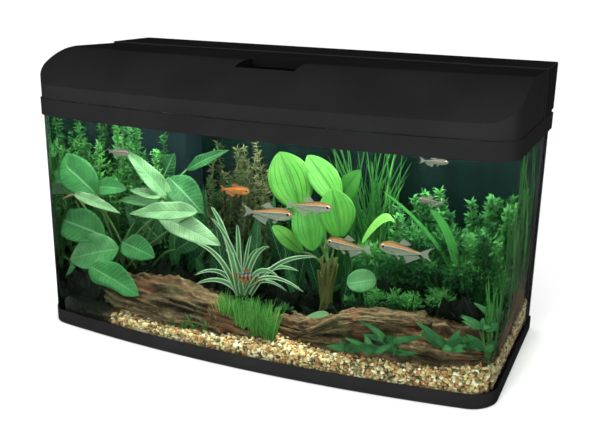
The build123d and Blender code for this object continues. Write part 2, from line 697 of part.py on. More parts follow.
# --- Hinged cover of the hood ---
def roof(skin):
    """The cover's outside, or its inside when skin is the wall, swept along the bow."""
    centre_y = FRONT_Y + ROOF_RUN
    centre_z = ROOF_Z - ROOF_R
    radius = ROOF_R - skin

    def on_arc(angle):
        return centre_y + radius * cos(angle), centre_z + radius * sin(angle)

    run_in = radians(4)     # the curve starts outside the upright face, for a clean crease
    start = pi - asin((CREASE_Z - centre_z) / ROOF_R) + run_in
    end = pi / 2
    low = TRIM_TOP - 10
    arc = ThreePointArc(on_arc(start), on_arc((start + end) / 2), on_arc(end))
    rest = Polyline(
        on_arc(end), (BACK_Y, ROOF_Z - skin), (BACK_Y, low), (on_arc(start)[0], low), on_arc(start))
    face = Plane.YZ * make_face(Curve() + [arc, rest])
    swing = 12.0
    axis = Axis((0, BOW_CENTRE_Y, 0), (0, 0, 1))
    return revolve(face, axis, 2 * swing).rotate(axis, -swing)


def cover_block(skin):
    """The cover as a block, cut at its bottom and along the seam."""
    low = COVER_LOW if skin == 0 else TRIM_TOP - 5
    body = slab(low, HOUSING_BACK_TOP, skin, back=BACK_Y) & roof(skin)
    gap = LID_GAP + skin
    below = TRIM_TOP - 9
    above = HINGE_Z + 9
    behind = [(seam_y(below) - gap, below), (seam_y(above) - gap, above), (FAR, above), (FAR, below)]
    return body - bar(behind, -FAR, FAR)


def front_cover():
    """Hinged cover shell with the feeding recess, hinge ears and lamp posts."""
    outside = cover_block(0)
    shell = outside - cover_block(SKIN)
    shell -= crease_groove()
    shell = hatch_recess(shell, outside)
    for x in (-HINGE_X, HINGE_X):
        shell += hinge_ear(x)
        shell -= rod((x - EAR_HALF - 1, HINGE_Y, HINGE_Z), "X", PIN_R + PIN_PLAY, 2 * EAR_HALF + 2)
    for x in POST_XS:
        post = rod((x, POST_Y, TRAY_TOP), "Z", POST_R, ROOF_Z - 1 - TRAY_TOP)
        shell += post - rod((x, POST_Y, TRAY_TOP - 1), "Z", SCREW_R, SCREW_LENGTH + 1)
    return shell


def crease_groove():
    """Shadow line where the bowed front turns into the roof, between the two corners."""
    half = LENGTH / 2 - CORNER_R
    line = ring(CREASE_Z - GROOVE / 2, CREASE_Z + GROOVE / 2, -1, GROOVE_DEPTH)
    return line & block((-half, half), (-FAR, 0), (0, FAR))


def hatch_recess(shell, outside):
    """Adds the tub for the feeding flap and cuts its recess, finger well, opening and pin seats."""
    x = (HATCH_X - HATCH_HALF, HATCH_X + HATCH_HALF)
    tub_x = (x[0] - SKIN, x[1] + SKIN)
    tub_y = (HATCH_FRONT - SKIN, HATCH_BACK + SKIN)
    tub_low = HATCH_FLOOR - FINGER_DEPTH - 2.5
    shell += block(tub_x, tub_y, (tub_low, FAR)) & outside
    shell -= block(x, (HATCH_FRONT, HATCH_BACK), (HATCH_FLOOR, FAR))
    shell -= block(x, (HATCH_FRONT, FLAP_FRONT - FINGER_GAP), (HATCH_FLOOR - FINGER_DEPTH, FAR))
    feed_x = (HATCH_X - FLAP_HALF + FEED_SIDE, HATCH_X + FLAP_HALF - FEED_SIDE)
    shell -= block(feed_x, (FLAP_FRONT + FEED_FRONT, FLAP_AXIS_Y - FEED_BACK), (tub_low - 5, FAR))
    shell -= rod((x[0], FLAP_AXIS_Y, FLAP_AXIS_Z), "X", FLAP_ROLL + LID_GAP, 2 * HATCH_HALF)
    return shell - flap_pin()


def hinge_ear(x):
    """An ear of the cover: a roll round the hinge axis on a short arm."""
    roll_r = HINGE_ROLL - 0.1
    arm_y = (HINGE_Y - 3 * HINGE_ROLL, HINGE_Y)
    ear = rod((x - EAR_HALF, HINGE_Y, HINGE_Z), "X", roll_r, 2 * EAR_HALF)
    return ear + block((x - EAR_HALF, x + EAR_HALF), arm_y, (HINGE_Z - roll_r, HINGE_Z + 0.1))


def lid_feet():
    """Four rubber rests inside the cover's wall, standing on the frame's ledge."""
    band = ring(LEDGE_TOP, LEDGE_TOP + LID_FOOT_H, SKIN, SKIN + LID_FOOT_T)
    half = LID_FOOT_LONG / 2
    feet = []
    for side in (-1, 1):
        x = side * LID_FOOT_X
        feet.append(band & block((x - half, x + half), (-FAR, 0), (0, FAR)))
        end = sorted((0, side * FAR))
        feet.append(band & block(end, (LID_FOOT_Y, LID_FOOT_Y + LID_FOOT_LONG), (0, FAR)))
    return Compound(children=feet)


def feeding_flap():
    """Flap with a full-length hinge roll and a raised lip along its free edge."""
    x = (HATCH_X - FLAP_HALF, HATCH_X + FLAP_HALF)
    flap = block(x, (FLAP_FRONT, FLAP_AXIS_Y), (FLAP_LOW, FLAP_LOW + FLAP_T))
    lip = flap.edges().filter_by(Axis.X).sort_by(Axis.Y)[:2].sort_by(Axis.Z)[-1]
    flap = fillet(lip, FLAP_LIP_R)
    flap += rod((x[0], FLAP_AXIS_Y, FLAP_AXIS_Z), "X", FLAP_ROLL, 2 * FLAP_HALF)
    return flap - rod((-FAR, FLAP_AXIS_Y, FLAP_AXIS_Z), "X", FLAP_PIN_R + PIN_PLAY, 2 * FAR)


def flap_pin():
    reach = HATCH_HALF + FLAP_PIN_SEAT
    return rod((HATCH_X - reach, FLAP_AXIS_Y, FLAP_AXIS_Z), "X", FLAP_PIN_R, 2 * reach)


def lamp_tray():
    """White reflector channel over the two tubes."""
    x = (-TRAY_HALF, TRAY_HALF)
    tray = block(x, (TRAY_FRONT, TRAY_BACK), (TRAY_LOW, TRAY_TOP))
    tops = tray.edges().filter_by(Axis.X).group_by(Axis.Z)[-1]
    tray = chamfer(tops, TRAY_CHAMFER)
    inner_x = (-TRAY_HALF + TRAY_T, TRAY_HALF - TRAY_T)
    inner_y = (TRAY_FRONT + TRAY_T, TRAY_BACK - TRAY_T)
    inside = block(inner_x, inner_y, (TRAY_LOW - 1, TRAY_TOP - TRAY_T))
    tops = inside.edges().filter_by(Axis.X).group_by(Axis.Z)[-1]
    tray -= chamfer(tops, TRAY_CHAMFER)
    for post_x in POST_XS:
        tray -= rod((post_x, POST_Y, TRAY_LOW), "Z", SCREW_R + SCREW_PLAY, FAR)
    return tray


def lamp_screws():
    return Compound(children=[screw(x, POST_Y, TRAY_TOP - TRAY_T) for x in POST_XS])


def lamp_tubes():
    tubes = []
    for y in TUBE_YS:
        tubes.append(rod((-TUBE_HALF, y, TUBE_Z), "X", TUBE_R, 2 * TUBE_HALF))
    return Compound(children=tubes)


def lamp_sockets():
    """A cup over each end of each tube, on a post from the tray."""
    near = TUBE_HALF - SOCKET_LAP
    far = TUBE_HALF + SOCKET_TAIL
    sockets = []
    for y in TUBE_YS:
        post_y = (y - SOCKET_POST, y + SOCKET_POST)
        for side in (-1, 1):
            x = min(side * near, side * far)
            cup = rod((x, y, TUBE_Z), "X", TUBE_R + SOCKET_WALL, far - near)
            cup += block((x, x + far - near), post_y, (TUBE_Z, TRAY_TOP - TRAY_T))
            sockets.append(cup - rod((-TUBE_HALF, y, TUBE_Z), "X", TUBE_R, 2 * TUBE_HALF))
    return Compound(children=sockets)


def splash_cover():
    """Clear cover under the tubes, with a shallow rim up round the tray."""
    x = (-TRAY_HALF - SPLASH_T, TRAY_HALF + SPLASH_T)
    y = (TRAY_FRONT - SPLASH_T, TRAY_BACK + SPLASH_T)
    cover = block(x, y, (TRAY_LOW - SPLASH_T, TRAY_LOW + SPLASH_RIM))
    return cover - block((-TRAY_HALF, TRAY_HALF), (TRAY_FRONT, TRAY_BACK), (TRAY_LOW, FAR))


def parts():
    """Every sub-part by the name of its node."""
    gravel = gravel_bed()
    return {
        "base_tray": base_tray(),
        "foam_mat": foam_mat(),
        "floor_glass": floor_glass(),
        "bent_glass": bent_glass(),
        "back_glass": back_glass(),
        "floor_silicone": floor_silicone(),
        "corner_silicone": corner_silicone(),
        "back_film": back_film(),
        "top_trim": top_trim(),
        "cross_brace": cross_brace(),
        "gravel_bed": gravel,
        "driftwood_left": log(LEFT_LOG) - gravel,
        "driftwood_right": log(RIGHT_LOG) - gravel,
        "filter_housing": filter_housing(),
        "filter_silicone": filter_silicone(),
        "sponge_coarse": filter_block(0),
        "sponge_fine": filter_block(1),
        "filter_wool": filter_block(2),
        "pump_body": pump_body(),
        "pump_cover": pump_cover(),
        "impeller_shaft": impeller_shaft(),
        "impeller": impeller(),
        "pump_feet": pump_feet(),
        "outlet_nozzle": outlet_nozzle(),
        "heater_tube": heater_tube(),
        "heater_cap": heater_cap(),
        "rear_housing": rear_housing(),
        "housing_floor": housing_floor(),
        "housing_screws": housing_screws(),
        "ballast": ballast(),
        "terminal_block": terminal_block(),
        "cable_gland": cable_gland(),
        "hinge_pins": hinge_pins(),
        "switch_bezel": switch_bezel(),
        "light_switch": light_switch(),
        "front_cover": front_cover(),
        "lid_feet": lid_feet(),
        "feeding_flap": feeding_flap(),
        "flap_pin": flap_pin(),
        "lamp_tray": lamp_tray(),
        "lamp_screws": lamp_screws(),
        "lamp_tubes": lamp_tubes(),
        "lamp_sockets": lamp_sockets(),
        "splash_cover": splash_cover(),
    }


os.makedirs("parts", exist_ok=True)
for node, shape in parts().items():
    export_step(shape, f"parts/{node}.step")
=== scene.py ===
import math
import random

import bmesh
import bpy
import numpy as np
from mathutils import Matrix, Vector, noise
from mathutils.bvhtree import BVHTree


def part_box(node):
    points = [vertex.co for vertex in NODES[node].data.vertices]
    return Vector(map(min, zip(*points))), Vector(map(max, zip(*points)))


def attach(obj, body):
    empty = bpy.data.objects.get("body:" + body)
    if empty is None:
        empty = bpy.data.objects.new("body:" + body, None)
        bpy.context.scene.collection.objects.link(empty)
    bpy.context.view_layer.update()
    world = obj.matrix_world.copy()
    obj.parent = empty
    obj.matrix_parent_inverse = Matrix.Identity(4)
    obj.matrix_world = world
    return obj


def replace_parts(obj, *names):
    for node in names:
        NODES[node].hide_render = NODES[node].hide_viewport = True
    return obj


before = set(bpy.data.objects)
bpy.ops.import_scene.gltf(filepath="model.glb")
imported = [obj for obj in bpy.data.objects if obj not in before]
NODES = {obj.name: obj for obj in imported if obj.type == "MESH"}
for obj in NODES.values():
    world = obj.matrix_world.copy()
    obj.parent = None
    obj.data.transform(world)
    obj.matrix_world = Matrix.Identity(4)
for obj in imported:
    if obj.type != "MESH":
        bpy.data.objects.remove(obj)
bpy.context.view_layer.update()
MM = 0.001

# --- Places worked out from the frame ---
glass_low, glass_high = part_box("bent_glass")
floor_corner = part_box("floor_glass")[1]
SIDE_X = floor_corner.x - 3 * MM        # plants stay this side of the end panes
BACK_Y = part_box("back_glass")[0].y - 4 * MM
FLOOR_Z = floor_corner.z
WATER_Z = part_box("top_trim")[0].z + 6 * MM
GLASS_T = 6 * MM
CORNER_R = 47 * MM                      # bend of the front corners, outside
BOW = 32 * MM                           # how far the middle of the front stands out
HALF = glass_high.x
BOW_R = (HALF ** 2 + BOW ** 2) / (2 * BOW)
BOW_CENTRE_Y = glass_low.y + BOW_R
CORNER_X = HALF - CORNER_R              # centre of the right corner's bend
CORNER_Y = BOW_CENTRE_Y - math.sqrt((BOW_R - CORNER_R) ** 2 - CORNER_X ** 2)
PLANTED_X = -0.64 * HALF                # left of this the bed is painted in shade, dark under the leaves
LOG_BACK_Y = -64 * MM                   # loose pebbles lie in front of this; behind it the bed is painted in shade
RECESS_LOW = Vector((2.3, 22.3, 0)) * MM    # from the feeding flap out to its recess's walls
RECESS_HIGH = Vector((2.3, 5.4, 0)) * MM
RECESS_PAINTED_SHADE = 0.42                      # painted shade on the recess's walls, a share of the hood's own colour


# ---------------------------------------------------------------- camera and light
AZIMUTH = math.radians(21.03)
ELEVATION = math.radians(16.33)
ROLL = math.radians(1.87)
DISTANCE = 1.3424
LOOK_AT = Vector((0.1034, 0.0051, 0.2020))
LENS = 47.92
SENSOR = 36
SHIFT = (-0.0765, 0.0117)


def make_camera():
    """The studio camera, in front and to the right, looking slightly down."""
    flat = Vector((math.sin(AZIMUTH), -math.cos(AZIMUTH), 0))
    back = flat * math.cos(ELEVATION) + Vector((0, 0, math.sin(ELEVATION)))
    right = Vector((math.cos(AZIMUTH), math.sin(AZIMUTH), 0))
    up = back.cross(right)
    right, up = (
        right * math.cos(ROLL) + up * math.sin(ROLL),
        up * math.cos(ROLL) - right * math.sin(ROLL),
    )
    data = bpy.data.cameras.new("camera")
    data.lens = LENS
    data.sensor_width = SENSOR
    data.shift_x, data.shift_y = SHIFT
    data.clip_start = 0.01
    camera = bpy.data.objects.new("camera", data)
    turn = Matrix((right, up, back)).transposed().to_4x4()
    camera.matrix_world = Matrix.Translation(LOOK_AT + back * DISTANCE) @ turn
    bpy.context.scene.collection.objects.link(camera)
    bpy.context.scene.camera = camera


def area_light(name, place, target, size, power, colour=(1, 1, 1)):
    """A soft rectangular light aimed at a point, not seen by the camera or in reflections."""
    data = bpy.data.lights.new(name, "AREA")
    data.shape = "RECTANGLE"
    data.size, data.size_y = size
    data.energy = power
    data.color = colour
    light = bpy.data.objects.new(name, data)
    light.location = place
    light.rotation_euler = (Vector(target) - Vector(place)).to_track_quat("-Z", "Y").to_euler()
    light.visible_camera = False
    light.visible_glossy = False
    bpy.context.scene.collection.objects.link(light)
    return light


def make_studio():
    """Pale world, soft lights round the tank and the lamp's light inside it."""
    world = bpy.data.worlds.new("studio")
    world.use_nodes = True
    background = world.node_tree.nodes["Background"]
    background.inputs["Color"].default_value = (1, 1, 1, 1)
    background.inputs["Strength"].default_value = 1.05
    scene = bpy.context.scene
    scene.world = world
    scene.view_settings.view_transform = "Standard"
    scene.cycles.transparent_max_bounces = 24
    area_light("key", (0.2, -3.2, 1.5), (0, 0, 0.25), (3.0, 1.6), 62)
    area_light("side", (2.8, -0.6, 1.2), (0, 0, 0.25), (1.6, 1.6), 5)
    lamp_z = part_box("splash_cover")[0].z - 3 * MM
    lamp = area_light("lamp", (0, 0, lamp_z), (0, -0.02, 0), (0.74, 0.26), 11, (1, 1, 0.93))
    lamp.data.spread = math.radians(170)
    area_light("front_fill", (0, -1.6, 0.55), (0, 0, 0.15), (1.6, 0.7), 5, (0.95, 1, 0.95))


def make_floor():
    """A wide pale floor, just under the tank."""
    mesh = bpy.data.meshes.new("floor")
    reach = 30
    corners = [(-reach, -reach, 0), (reach, -reach, 0), (reach, reach, 0), (-reach, reach, 0)]
    mesh.from_pydata(corners, [], [(0, 1, 2, 3)])
    floor = bpy.data.objects.new("floor", mesh)
    floor.location.z = -0.5 * MM
    bpy.context.scene.collection.objects.link(floor)
    mesh.materials.append(new_material("floor_paint", (0.97, 0.97, 0.97), 0.8)[0])


# ---------------------------------------------------------------- materials
def put(tree, kind, inputs=None, **settings):
    """Adds a node, with settings as attributes and inputs by name or number."""
    node = tree.nodes.new(kind)
    for key, value in settings.items():
        setattr(node, key, value)
    for key, value in (inputs or {}).items():
        if isinstance(value, bpy.types.NodeSocket):
            tree.links.new(value, node.inputs[key])
        else:
            node.inputs[key].default_value = value
    return node


def calc(tree, operation, a, b=0.0, c=0.0, clamp=False):
    """A math node's result; a, b and c are sockets or numbers."""
    inputs = {0: a, 1: b, 2: c}
    return put(tree, "ShaderNodeMath", inputs, operation=operation, use_clamp=clamp).outputs[0]


def times(tree, a, b):
    """The product of two sockets or numbers."""
    return calc(tree, "MULTIPLY", a, b)


def minus(tree, a, b):
    """The difference of two sockets or numbers."""
    return calc(tree, "SUBTRACT", a, b)


def split(tree, vector):
    """The three parts of a vector."""
    return put(tree, "ShaderNodeSeparateXYZ", {0: vector}).outputs


def smooth(tree, value, low, high):
    """0 below low, 1 above high, smooth between."""
    node = put(
        tree, "ShaderNodeMapRange",
        {"Value": value, "From Min": low, "From Max": high}, interpolation_type="SMOOTHSTEP",
    )
    return node.outputs[0]


def blend(tree, factor, a, b, kind="MIX"):
    """A colour mix; a and b are colours or sockets."""
    node = put(tree, "ShaderNodeMix", data_type="RGBA", blend_type=kind, clamp_factor=True)
    pairs = ((node.inputs[0], factor), (node.inputs[6], a), (node.inputs[7], b))
    for socket, value in pairs:
        if isinstance(value, bpy.types.NodeSocket):
            tree.links.new(value, socket)
        elif isinstance(value, (int, float)):
            socket.default_value = value
        else:
            socket.default_value = (*value, 1)
    return node.outputs[2]


def ramp(tree, value, stops, steps=False):
    """Colours along a value: stops are (place, colour)."""
    node = put(tree, "ShaderNodeValToRGB", {0: value})
    node.color_ramp.interpolation = "CONSTANT" if steps else "LINEAR"
    elements = node.color_ramp.elements
    while len(elements) < len(stops):
        elements.new(0.5)
    for element, (place, colour) in zip(elements, stops):
        element.position = place
        element.color = (*colour, 1)
    return node.outputs[0]


def place_of(tree):
    """The position in the object's own frame, in metres."""
    return put(tree, "ShaderNodeTexCoord").outputs["Object"]


def clouds(tree, scale, detail, stretch=(1, 1, 1), seed=0.0, rough=0.5):
    """Fractal noise, 0 to 1, scale in cycles per metre."""
    turned = put(
        tree, "ShaderNodeMapping", {"Vector": place_of(tree), "Scale": stretch, "Location": (seed, seed, 0)})
    node = put(
        tree, "ShaderNodeTexNoise",
        {"Vector": turned.outputs[0], "Scale": scale, "Detail": detail, "Roughness": rough},
    )
    return node.outputs[0]


def paint(tree, bsdf, shade):
    """Makes a socket the surface's colour."""
    tree.links.new(shade, bsdf.inputs["Base Color"])


def surface(tree, share, first, second):
    """Ends the material in a mix of two shaders; share is the second one's part."""
    mix = put(tree, "ShaderNodeMixShader", {0: share, 1: first.outputs[0], 2: second.outputs[0]})
    tree.links.new(mix.outputs[0], tree.nodes["Material Output"].inputs["Surface"])


def bump(tree, bsdf, height, distance, strength=1.0):
    """Relief of a height of 0 to 1, distance metres deep."""
    node = put(tree, "ShaderNodeBump", {"Height": height, "Distance": distance, "Strength": strength})
    tree.links.new(node.outputs[0], bsdf.inputs["Normal"])


def new_material(name, colour, rough, metal=0.0, shine=0.5):
    """A principled material and its node tree, ready for more nodes."""
    mat = bpy.data.materials.new(name)
    mat.use_nodes = True
    tree = mat.node_tree
    bsdf = tree.nodes["Principled BSDF"]
    bsdf.inputs["Base Color"].default_value = (*colour, 1)
    bsdf.inputs["Roughness"].default_value = rough
    bsdf.inputs["Metallic"].default_value = metal
    bsdf.inputs["Specular IOR Level"].default_value = shine
    return mat, tree, bsdf


def plastic(name, colour, rough, shine, grain=1400.0, top=1.0, slope=1.0, end=1.0, edge=1.0, recess=None):
    """Moulded plastic with a fine spark-eroded grain and slightly uneven gloss.
    top, slope, end and edge are painted shade and painted highlight, for how the studio's light falls:
    the tones of its level upper faces, of its rising curves, of its left and right ends and of
    its rounded edges against the rest. recess is the low and high corner of a box seen from above whose
    walls get painted shade."""
    mat, tree, bsdf = new_material(name, colour, rough, shine=shine)
    broad = clouds(tree, 9.0, 4)
    tint = blend(tree, smooth(tree, broad, 0.3, 0.7), [c * 0.9 for c in colour], [c * 1.12 for c in colour])
    facing = put(tree, "ShaderNodeTexCoord").outputs["Normal"]
    x, y, z = [calc(tree, "ABSOLUTE", part) for part in split(tree, facing)]
    widest = calc(tree, "MAXIMUM", calc(tree, "MAXIMUM", x, y), z)
    # Painted shade and painted highlight: each facing's tone scales the colour.
    tones = [
        (smooth(tree, z, 0.2, 0.9), slope),
        (smooth(tree, z, 0.992, 0.9995), top),
        (smooth(tree, x, 0.75, 0.98), end),
        (minus(tree, 1.0, smooth(tree, widest, 0.85, 0.97)), edge),
    ]
    # Painted shade on the walls of the recess round the feeding flap.
    if recess:
        tones.append((inside_box(tree, *recess), RECESS_PAINTED_SHADE))
    tone = 1.0
    for share, level in tones:
        if level != 1.0:
            tone = times(tree, tone, calc(tree, "MULTIPLY_ADD", share, level - 1.0, 1.0))
    if tone != 1.0:
        tint = put(tree, "ShaderNodeVectorMath", {0: tint, 3: tone}, operation="SCALE").outputs[0]
    paint(tree, bsdf, tint)
    gloss = calc(tree, "MULTIPLY_ADD", broad, 0.14, rough - 0.07)
    tree.links.new(gloss, bsdf.inputs["Roughness"])
    bump(tree, bsdf, clouds(tree, grain, 2), 0.06 * MM, 0.35)
    return mat


def inside_box(tree, low, high):
    """1 where the place lies between two corners, seen from above."""
    inside = 1.0
    spot = split(tree, place_of(tree))
    for axis in (0, 1):
        for operation, limit in (("GREATER_THAN", low[axis]), ("LESS_THAN", high[axis])):
            inside = times(tree, inside, calc(tree, operation, spot[axis], limit))
    return inside


def hypotenuse(tree, a, b):
    """The long side over two short ones at a right angle."""
    return calc(tree, "SQRT", calc(tree, "MULTIPLY_ADD", a, a, times(tree, b, b)))


def outer_face(tree):
    """1 on the outer faces of the bent pane: both ends and the bowed front."""
    x, y, _ = split(tree, place_of(tree))
    across = calc(tree, "ABSOLUTE", x)
    end = calc(tree, "GREATER_THAN", across, HALF - MM)
    out = calc(tree, "MAXIMUM", minus(tree, across, CORNER_X), 0.0)
    fore = calc(tree, "MAXIMUM", minus(tree, CORNER_Y, y), 0.0)
    bend = calc(tree, "GREATER_THAN", hypotenuse(tree, out, fore), CORNER_R - MM)
    bend = times(tree, bend, calc(tree, "GREATER_THAN", out, 0.0))
    bow = hypotenuse(tree, x, minus(tree, y, BOW_CENTRE_Y))
    bow = calc(tree, "GREATER_THAN", bow, BOW_R - MM)
    return calc(tree, "MAXIMUM", calc(tree, "MAXIMUM", end, bend), bow)


def glass(name, tint, mirror, inner_mirror=0.0):
    """Thin clear sheet: light passes straight through, with a weak Fresnel reflection.
    inner_mirror is the share of total reflection where light would leave the water too flat."""
    mat = bpy.data.materials.new(name)
    mat.use_nodes = True
    tree = mat.node_tree
    tree.nodes.remove(tree.nodes["Principled BSDF"])
    through = put(tree, "ShaderNodeBsdfTransparent", {"Color": (*tint, 1)})
    smudges = smooth(tree, clouds(tree, 22.0, 4), 0.45, 0.75)
    rough = times(tree, smudges, 0.02)
    shine = put(tree, "ShaderNodeBsdfGlossy", {"Roughness": rough})
    fresnel = put(tree, "ShaderNodeFresnel", {"IOR": 1.45})
    leaving = put(tree, "ShaderNodeNewGeometry").outputs["Backfacing"]
    share = calc(tree, "MULTIPLY", fresnel.outputs[0], mirror, clamp=True)
    share = times(tree, share, minus(tree, 1.0, leaving))
    if inner_mirror:
        flat = smooth(tree, put(tree, "ShaderNodeFresnel", {"IOR": 1.333}).outputs[0], 0.4, 0.9)
        total = times(tree, times(tree, leaving, flat), outer_face(tree))
        share = calc(tree, "MAXIMUM", share, times(tree, total, inner_mirror))
    surface(tree, share, through, shine)
    return mat


def speckled(name, dark, light, scale, rough, depth):
    """Foam, sponge, wool and other grainy stuff."""
    mat, tree, bsdf = new_material(name, dark, rough)
    grain = clouds(tree, scale, 4)
    paint(tree, bsdf, blend(tree, smooth(tree, grain, 0.35, 0.65), dark, light))
    bump(tree, bsdf, grain, depth)
    return mat


def metal(name, colour, rough, brushed):
    """Metal with fine brushing along the axis where brushed is smallest."""
    mat, tree, bsdf = new_material(name, colour, rough, metal=1.0)
    lines = clouds(tree, 900.0, 3, stretch=brushed)
    gloss = calc(tree, "MULTIPLY_ADD", lines, 0.2, rough)
    tree.links.new(gloss, bsdf.inputs["Roughness"])
    bump(tree, bsdf, lines, 0.05 * MM, 0.4)
    return mat


def film_material():
    """Blue-green backing film, lighter towards the top, with faint upright streaks."""
    mat, tree, bsdf = new_material("deep_film", (0.01, 0.03, 0.03), 0.6, shine=0.2)
    rise = smooth(tree, split(tree, place_of(tree))[2], 0.10, 0.38)
    streaks = clouds(tree, 26.0, 3, stretch=(1, 1, 0.12))
    shade = blend(tree, rise, (0.0008, 0.0025, 0.002), (0.004, 0.018, 0.018))
    shade = blend(tree, smooth(tree, streaks, 0.35, 0.7), shade, (0.001, 0.005, 0.0045))
    paint(tree, bsdf, shade)
    return mat


def lamp_material():
    """Frosted tube that glows, darker at its ends."""
    mat, tree, bsdf = new_material("tube_glass", (0.95, 0.96, 0.93), 0.35)
    reach = calc(tree, "ABSOLUTE", split(tree, place_of(tree))[0])
    glow = minus(tree, 1.0, smooth(tree, reach, 0.25, 0.295))
    haze = clouds(tree, 60.0, 2)
    tree.links.new(calc(tree, "MULTIPLY_ADD", haze, 0.2), bsdf.inputs["Roughness"])
    bsdf.inputs["Emission Color"].default_value = (1, 1, 0.94, 1)
    tree.links.new(times(tree, glow, 0.5), bsdf.inputs["Emission Strength"])
    return mat


def grey(level, blue=0.0):
    """A neutral colour, a touch bluer by blue."""
    return (level, level, level + blue)


def hood_plastics():
    """The black mouldings, each with the tone it has in the studio's light; painted shade and painted
    highlight set how their faces take that light.
    """
    flap_low, flap_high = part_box("feeding_flap")
    recess = (flap_low - RECESS_LOW, flap_high + RECESS_HIGH)
    # Front cover: painted shade, darker on its level top, its rising curves, its ends and in the flap's
    # recess.
    hood = plastic("hood_satin_painted_shade", grey(0.0148, 0.0002), 0.5, 0.0, top=0.6, slope=0.78, end=0.7, recess=recess)
    # Rear housing: painted highlight, its rounded edges 2.6 times brighter.
    rear = plastic("hood_rear_satin_painted_highlight", grey(0.0068, 0.0002), 0.5, 0.0, edge=2.6)
    # Top trim and brace: painted shade, darker on the end faces.
    trim = plastic("trim_satin_painted_shade", grey(0.0128, 0.0002), 0.48, 0.0, end=0.75)
    return (
        (hood, "front_cover"),
        (rear, "rear_housing housing_floor switch_bezel"),
        (trim, "top_trim cross_brace"),
        # Base tray: painted shade, darker on the end faces.
        (plastic("base_satin_painted_shade", grey(0.0120, 0.0002), 0.48, 0.0, end=0.8), "base_tray"),
        # Feeding flap: painted shade, far darker than the hood, for the shade of its deep recess.
        (plastic("flap_satin_painted_shade", grey(0.0016, 0.0001), 0.5, 0.0), "feeding_flap"),
        (plastic("filter_satin", (0.007, 0.016, 0.018), 0.5, 0.1), "filter_housing"),
        (plastic("pump_gloss", grey(0.02, 0.002), 0.25, 0.5),
         "light_switch pump_body pump_cover outlet_nozzle heater_cap"),
        (plastic("black_rubber", grey(0.016), 0.8, 0.01, grain=600),
         "floor_silicone corner_silicone filter_silicone pump_feet lid_feet cable_gland lamp_sockets"),
        (plastic("white_enamel", (0.82, 0.82, 0.8), 0.3, 0.5), "ballast lamp_tray"),
        (plastic("cream_plastic", (0.7, 0.66, 0.52), 0.35, 0.5), "terminal_block"),
    )


def inner_materials():
    """Glass, metal, foam, sponges and ceramic."""
    return (
        (glass("clear_pane", (0.93, 0.955, 0.935), 0.025, inner_mirror=1.0),
         "bent_glass back_glass floor_glass"),
        (glass("quartz_tube", (0.75, 0.8, 0.8), 0.6), "heater_tube"),
        (glass("clear_cover", (0.96, 0.97, 0.97), 0.5), "splash_cover"),
        (film_material(), "back_film"),
        (lamp_material(), "lamp_tubes"),
        (metal("stainless", (0.55, 0.55, 0.56), 0.3, (0.02, 1, 1)),
         "housing_screws lamp_screws hinge_pins flap_pin"),
        (speckled("grey_foam", (0.08, 0.08, 0.085), (0.2, 0.2, 0.21), 700, 0.9, 0.4 * MM), "foam_mat"),
        (speckled("blue_sponge", (0.01, 0.03, 0.12), (0.04, 0.1, 0.35), 350, 0.95, 2 * MM), "sponge_coarse"),
        (speckled("black_sponge", (0.01, 0.01, 0.011), (0.05, 0.05, 0.055), 600, 0.95, MM), "sponge_fine"),
        (speckled("white_wool", (0.6, 0.6, 0.57), (0.9, 0.9, 0.88), 240, 0.95, 2 * MM), "filter_wool"),
        (speckled("white_ceramic", (0.75, 0.74, 0.7), (0.85, 0.84, 0.8), 500, 0.2, 0.02 * MM),
         "impeller_shaft"),
        (speckled("ferrite", (0.05, 0.05, 0.055), (0.1, 0.1, 0.11), 900, 0.5, 0.05 * MM), "impeller"),
    )


def dress_frame():
    """Gives every CAD node that stays in view its material."""
    for mat, nodes in hood_plastics() + inner_materials():
        for node in nodes.split():
            data = NODES[node].data
            data.materials.clear()
            data.materials.append(mat)


# ---------------------------------------------------------------- mesh tools
class Bunch:
    """Collects grids and solids into one mesh; guide holds three shading values a vertex."""

    def __init__(self):
        self.points, self.guides, self.faces, self.count = [], [], [], 0

    def add(self, points, faces, guide):
        """faces count from the first of these points."""
        points = np.asarray(points, float).reshape(-1, 3)
        self.points.append(points)
        self.guides.append(np.broadcast_to(np.asarray(guide, float), points.shape))
        if isinstance(faces, np.ndarray):
            faces = faces.tolist()
        self.faces.extend([[i + self.count for i in face] for face in faces])
        self.count += len(points)

    def grid(self, points, guide, wrap=False):
        """points is rows by columns by 3; wrap joins the last column to the first."""
        rows, columns = points.shape[:2]
        last = columns if wrap else columns - 1
        row, column = np.divmod(np.arange((rows - 1) * last), last)
        here = row * columns + column
        beside = row * columns + (column + 1) % columns
        faces = np.stack([here, beside, beside + columns, here + columns], 1).tolist()
        if wrap:
            first = list(range(columns))
            faces = [first[::-1], [i + (rows - 1) * columns for i in first]] + faces
        self.add(points, faces, np.asarray(guide, float).reshape(-1, 3))

    def piece(self, name, mat, slot, body="tank"):
        """Makes the object, with smooth shading, riding on a body."""
        mesh = bpy.data.meshes.new(name)
        mesh.from_pydata(np.concatenate(self.points).tolist(), [], self.faces)
        layer = mesh.attributes.new("guide", "FLOAT_VECTOR", "POINT")
        layer.data.foreach_set("vector", np.concatenate(self.guides).ravel().astype(np.float32))
        mesh.polygons.foreach_set("use_smooth", np.ones(len(mesh.polygons), bool))
        mesh.materials.append(mat)
        mesh.validate()
        obj = bpy.data.objects.new(name, mesh)
        bpy.context.scene.collection.objects.link(obj)
        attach(obj, body)
        return obj


def vec(*xyz):
    """A place or step given in millimetres."""
    return np.array(xyz, float) * MM


def unit(v):
    """Vectors, or one vector, brought to length 1."""
    return v / (np.linalg.norm(v, axis=-1, keepdims=True) + 1e-12)


def guide_grid(u, v, tone=0.5):
    """Shading values over a grid: u across it, v along it, and one tone."""
    return np.stack(np.broadcast_arrays(u, v[:, None], tone), -1)


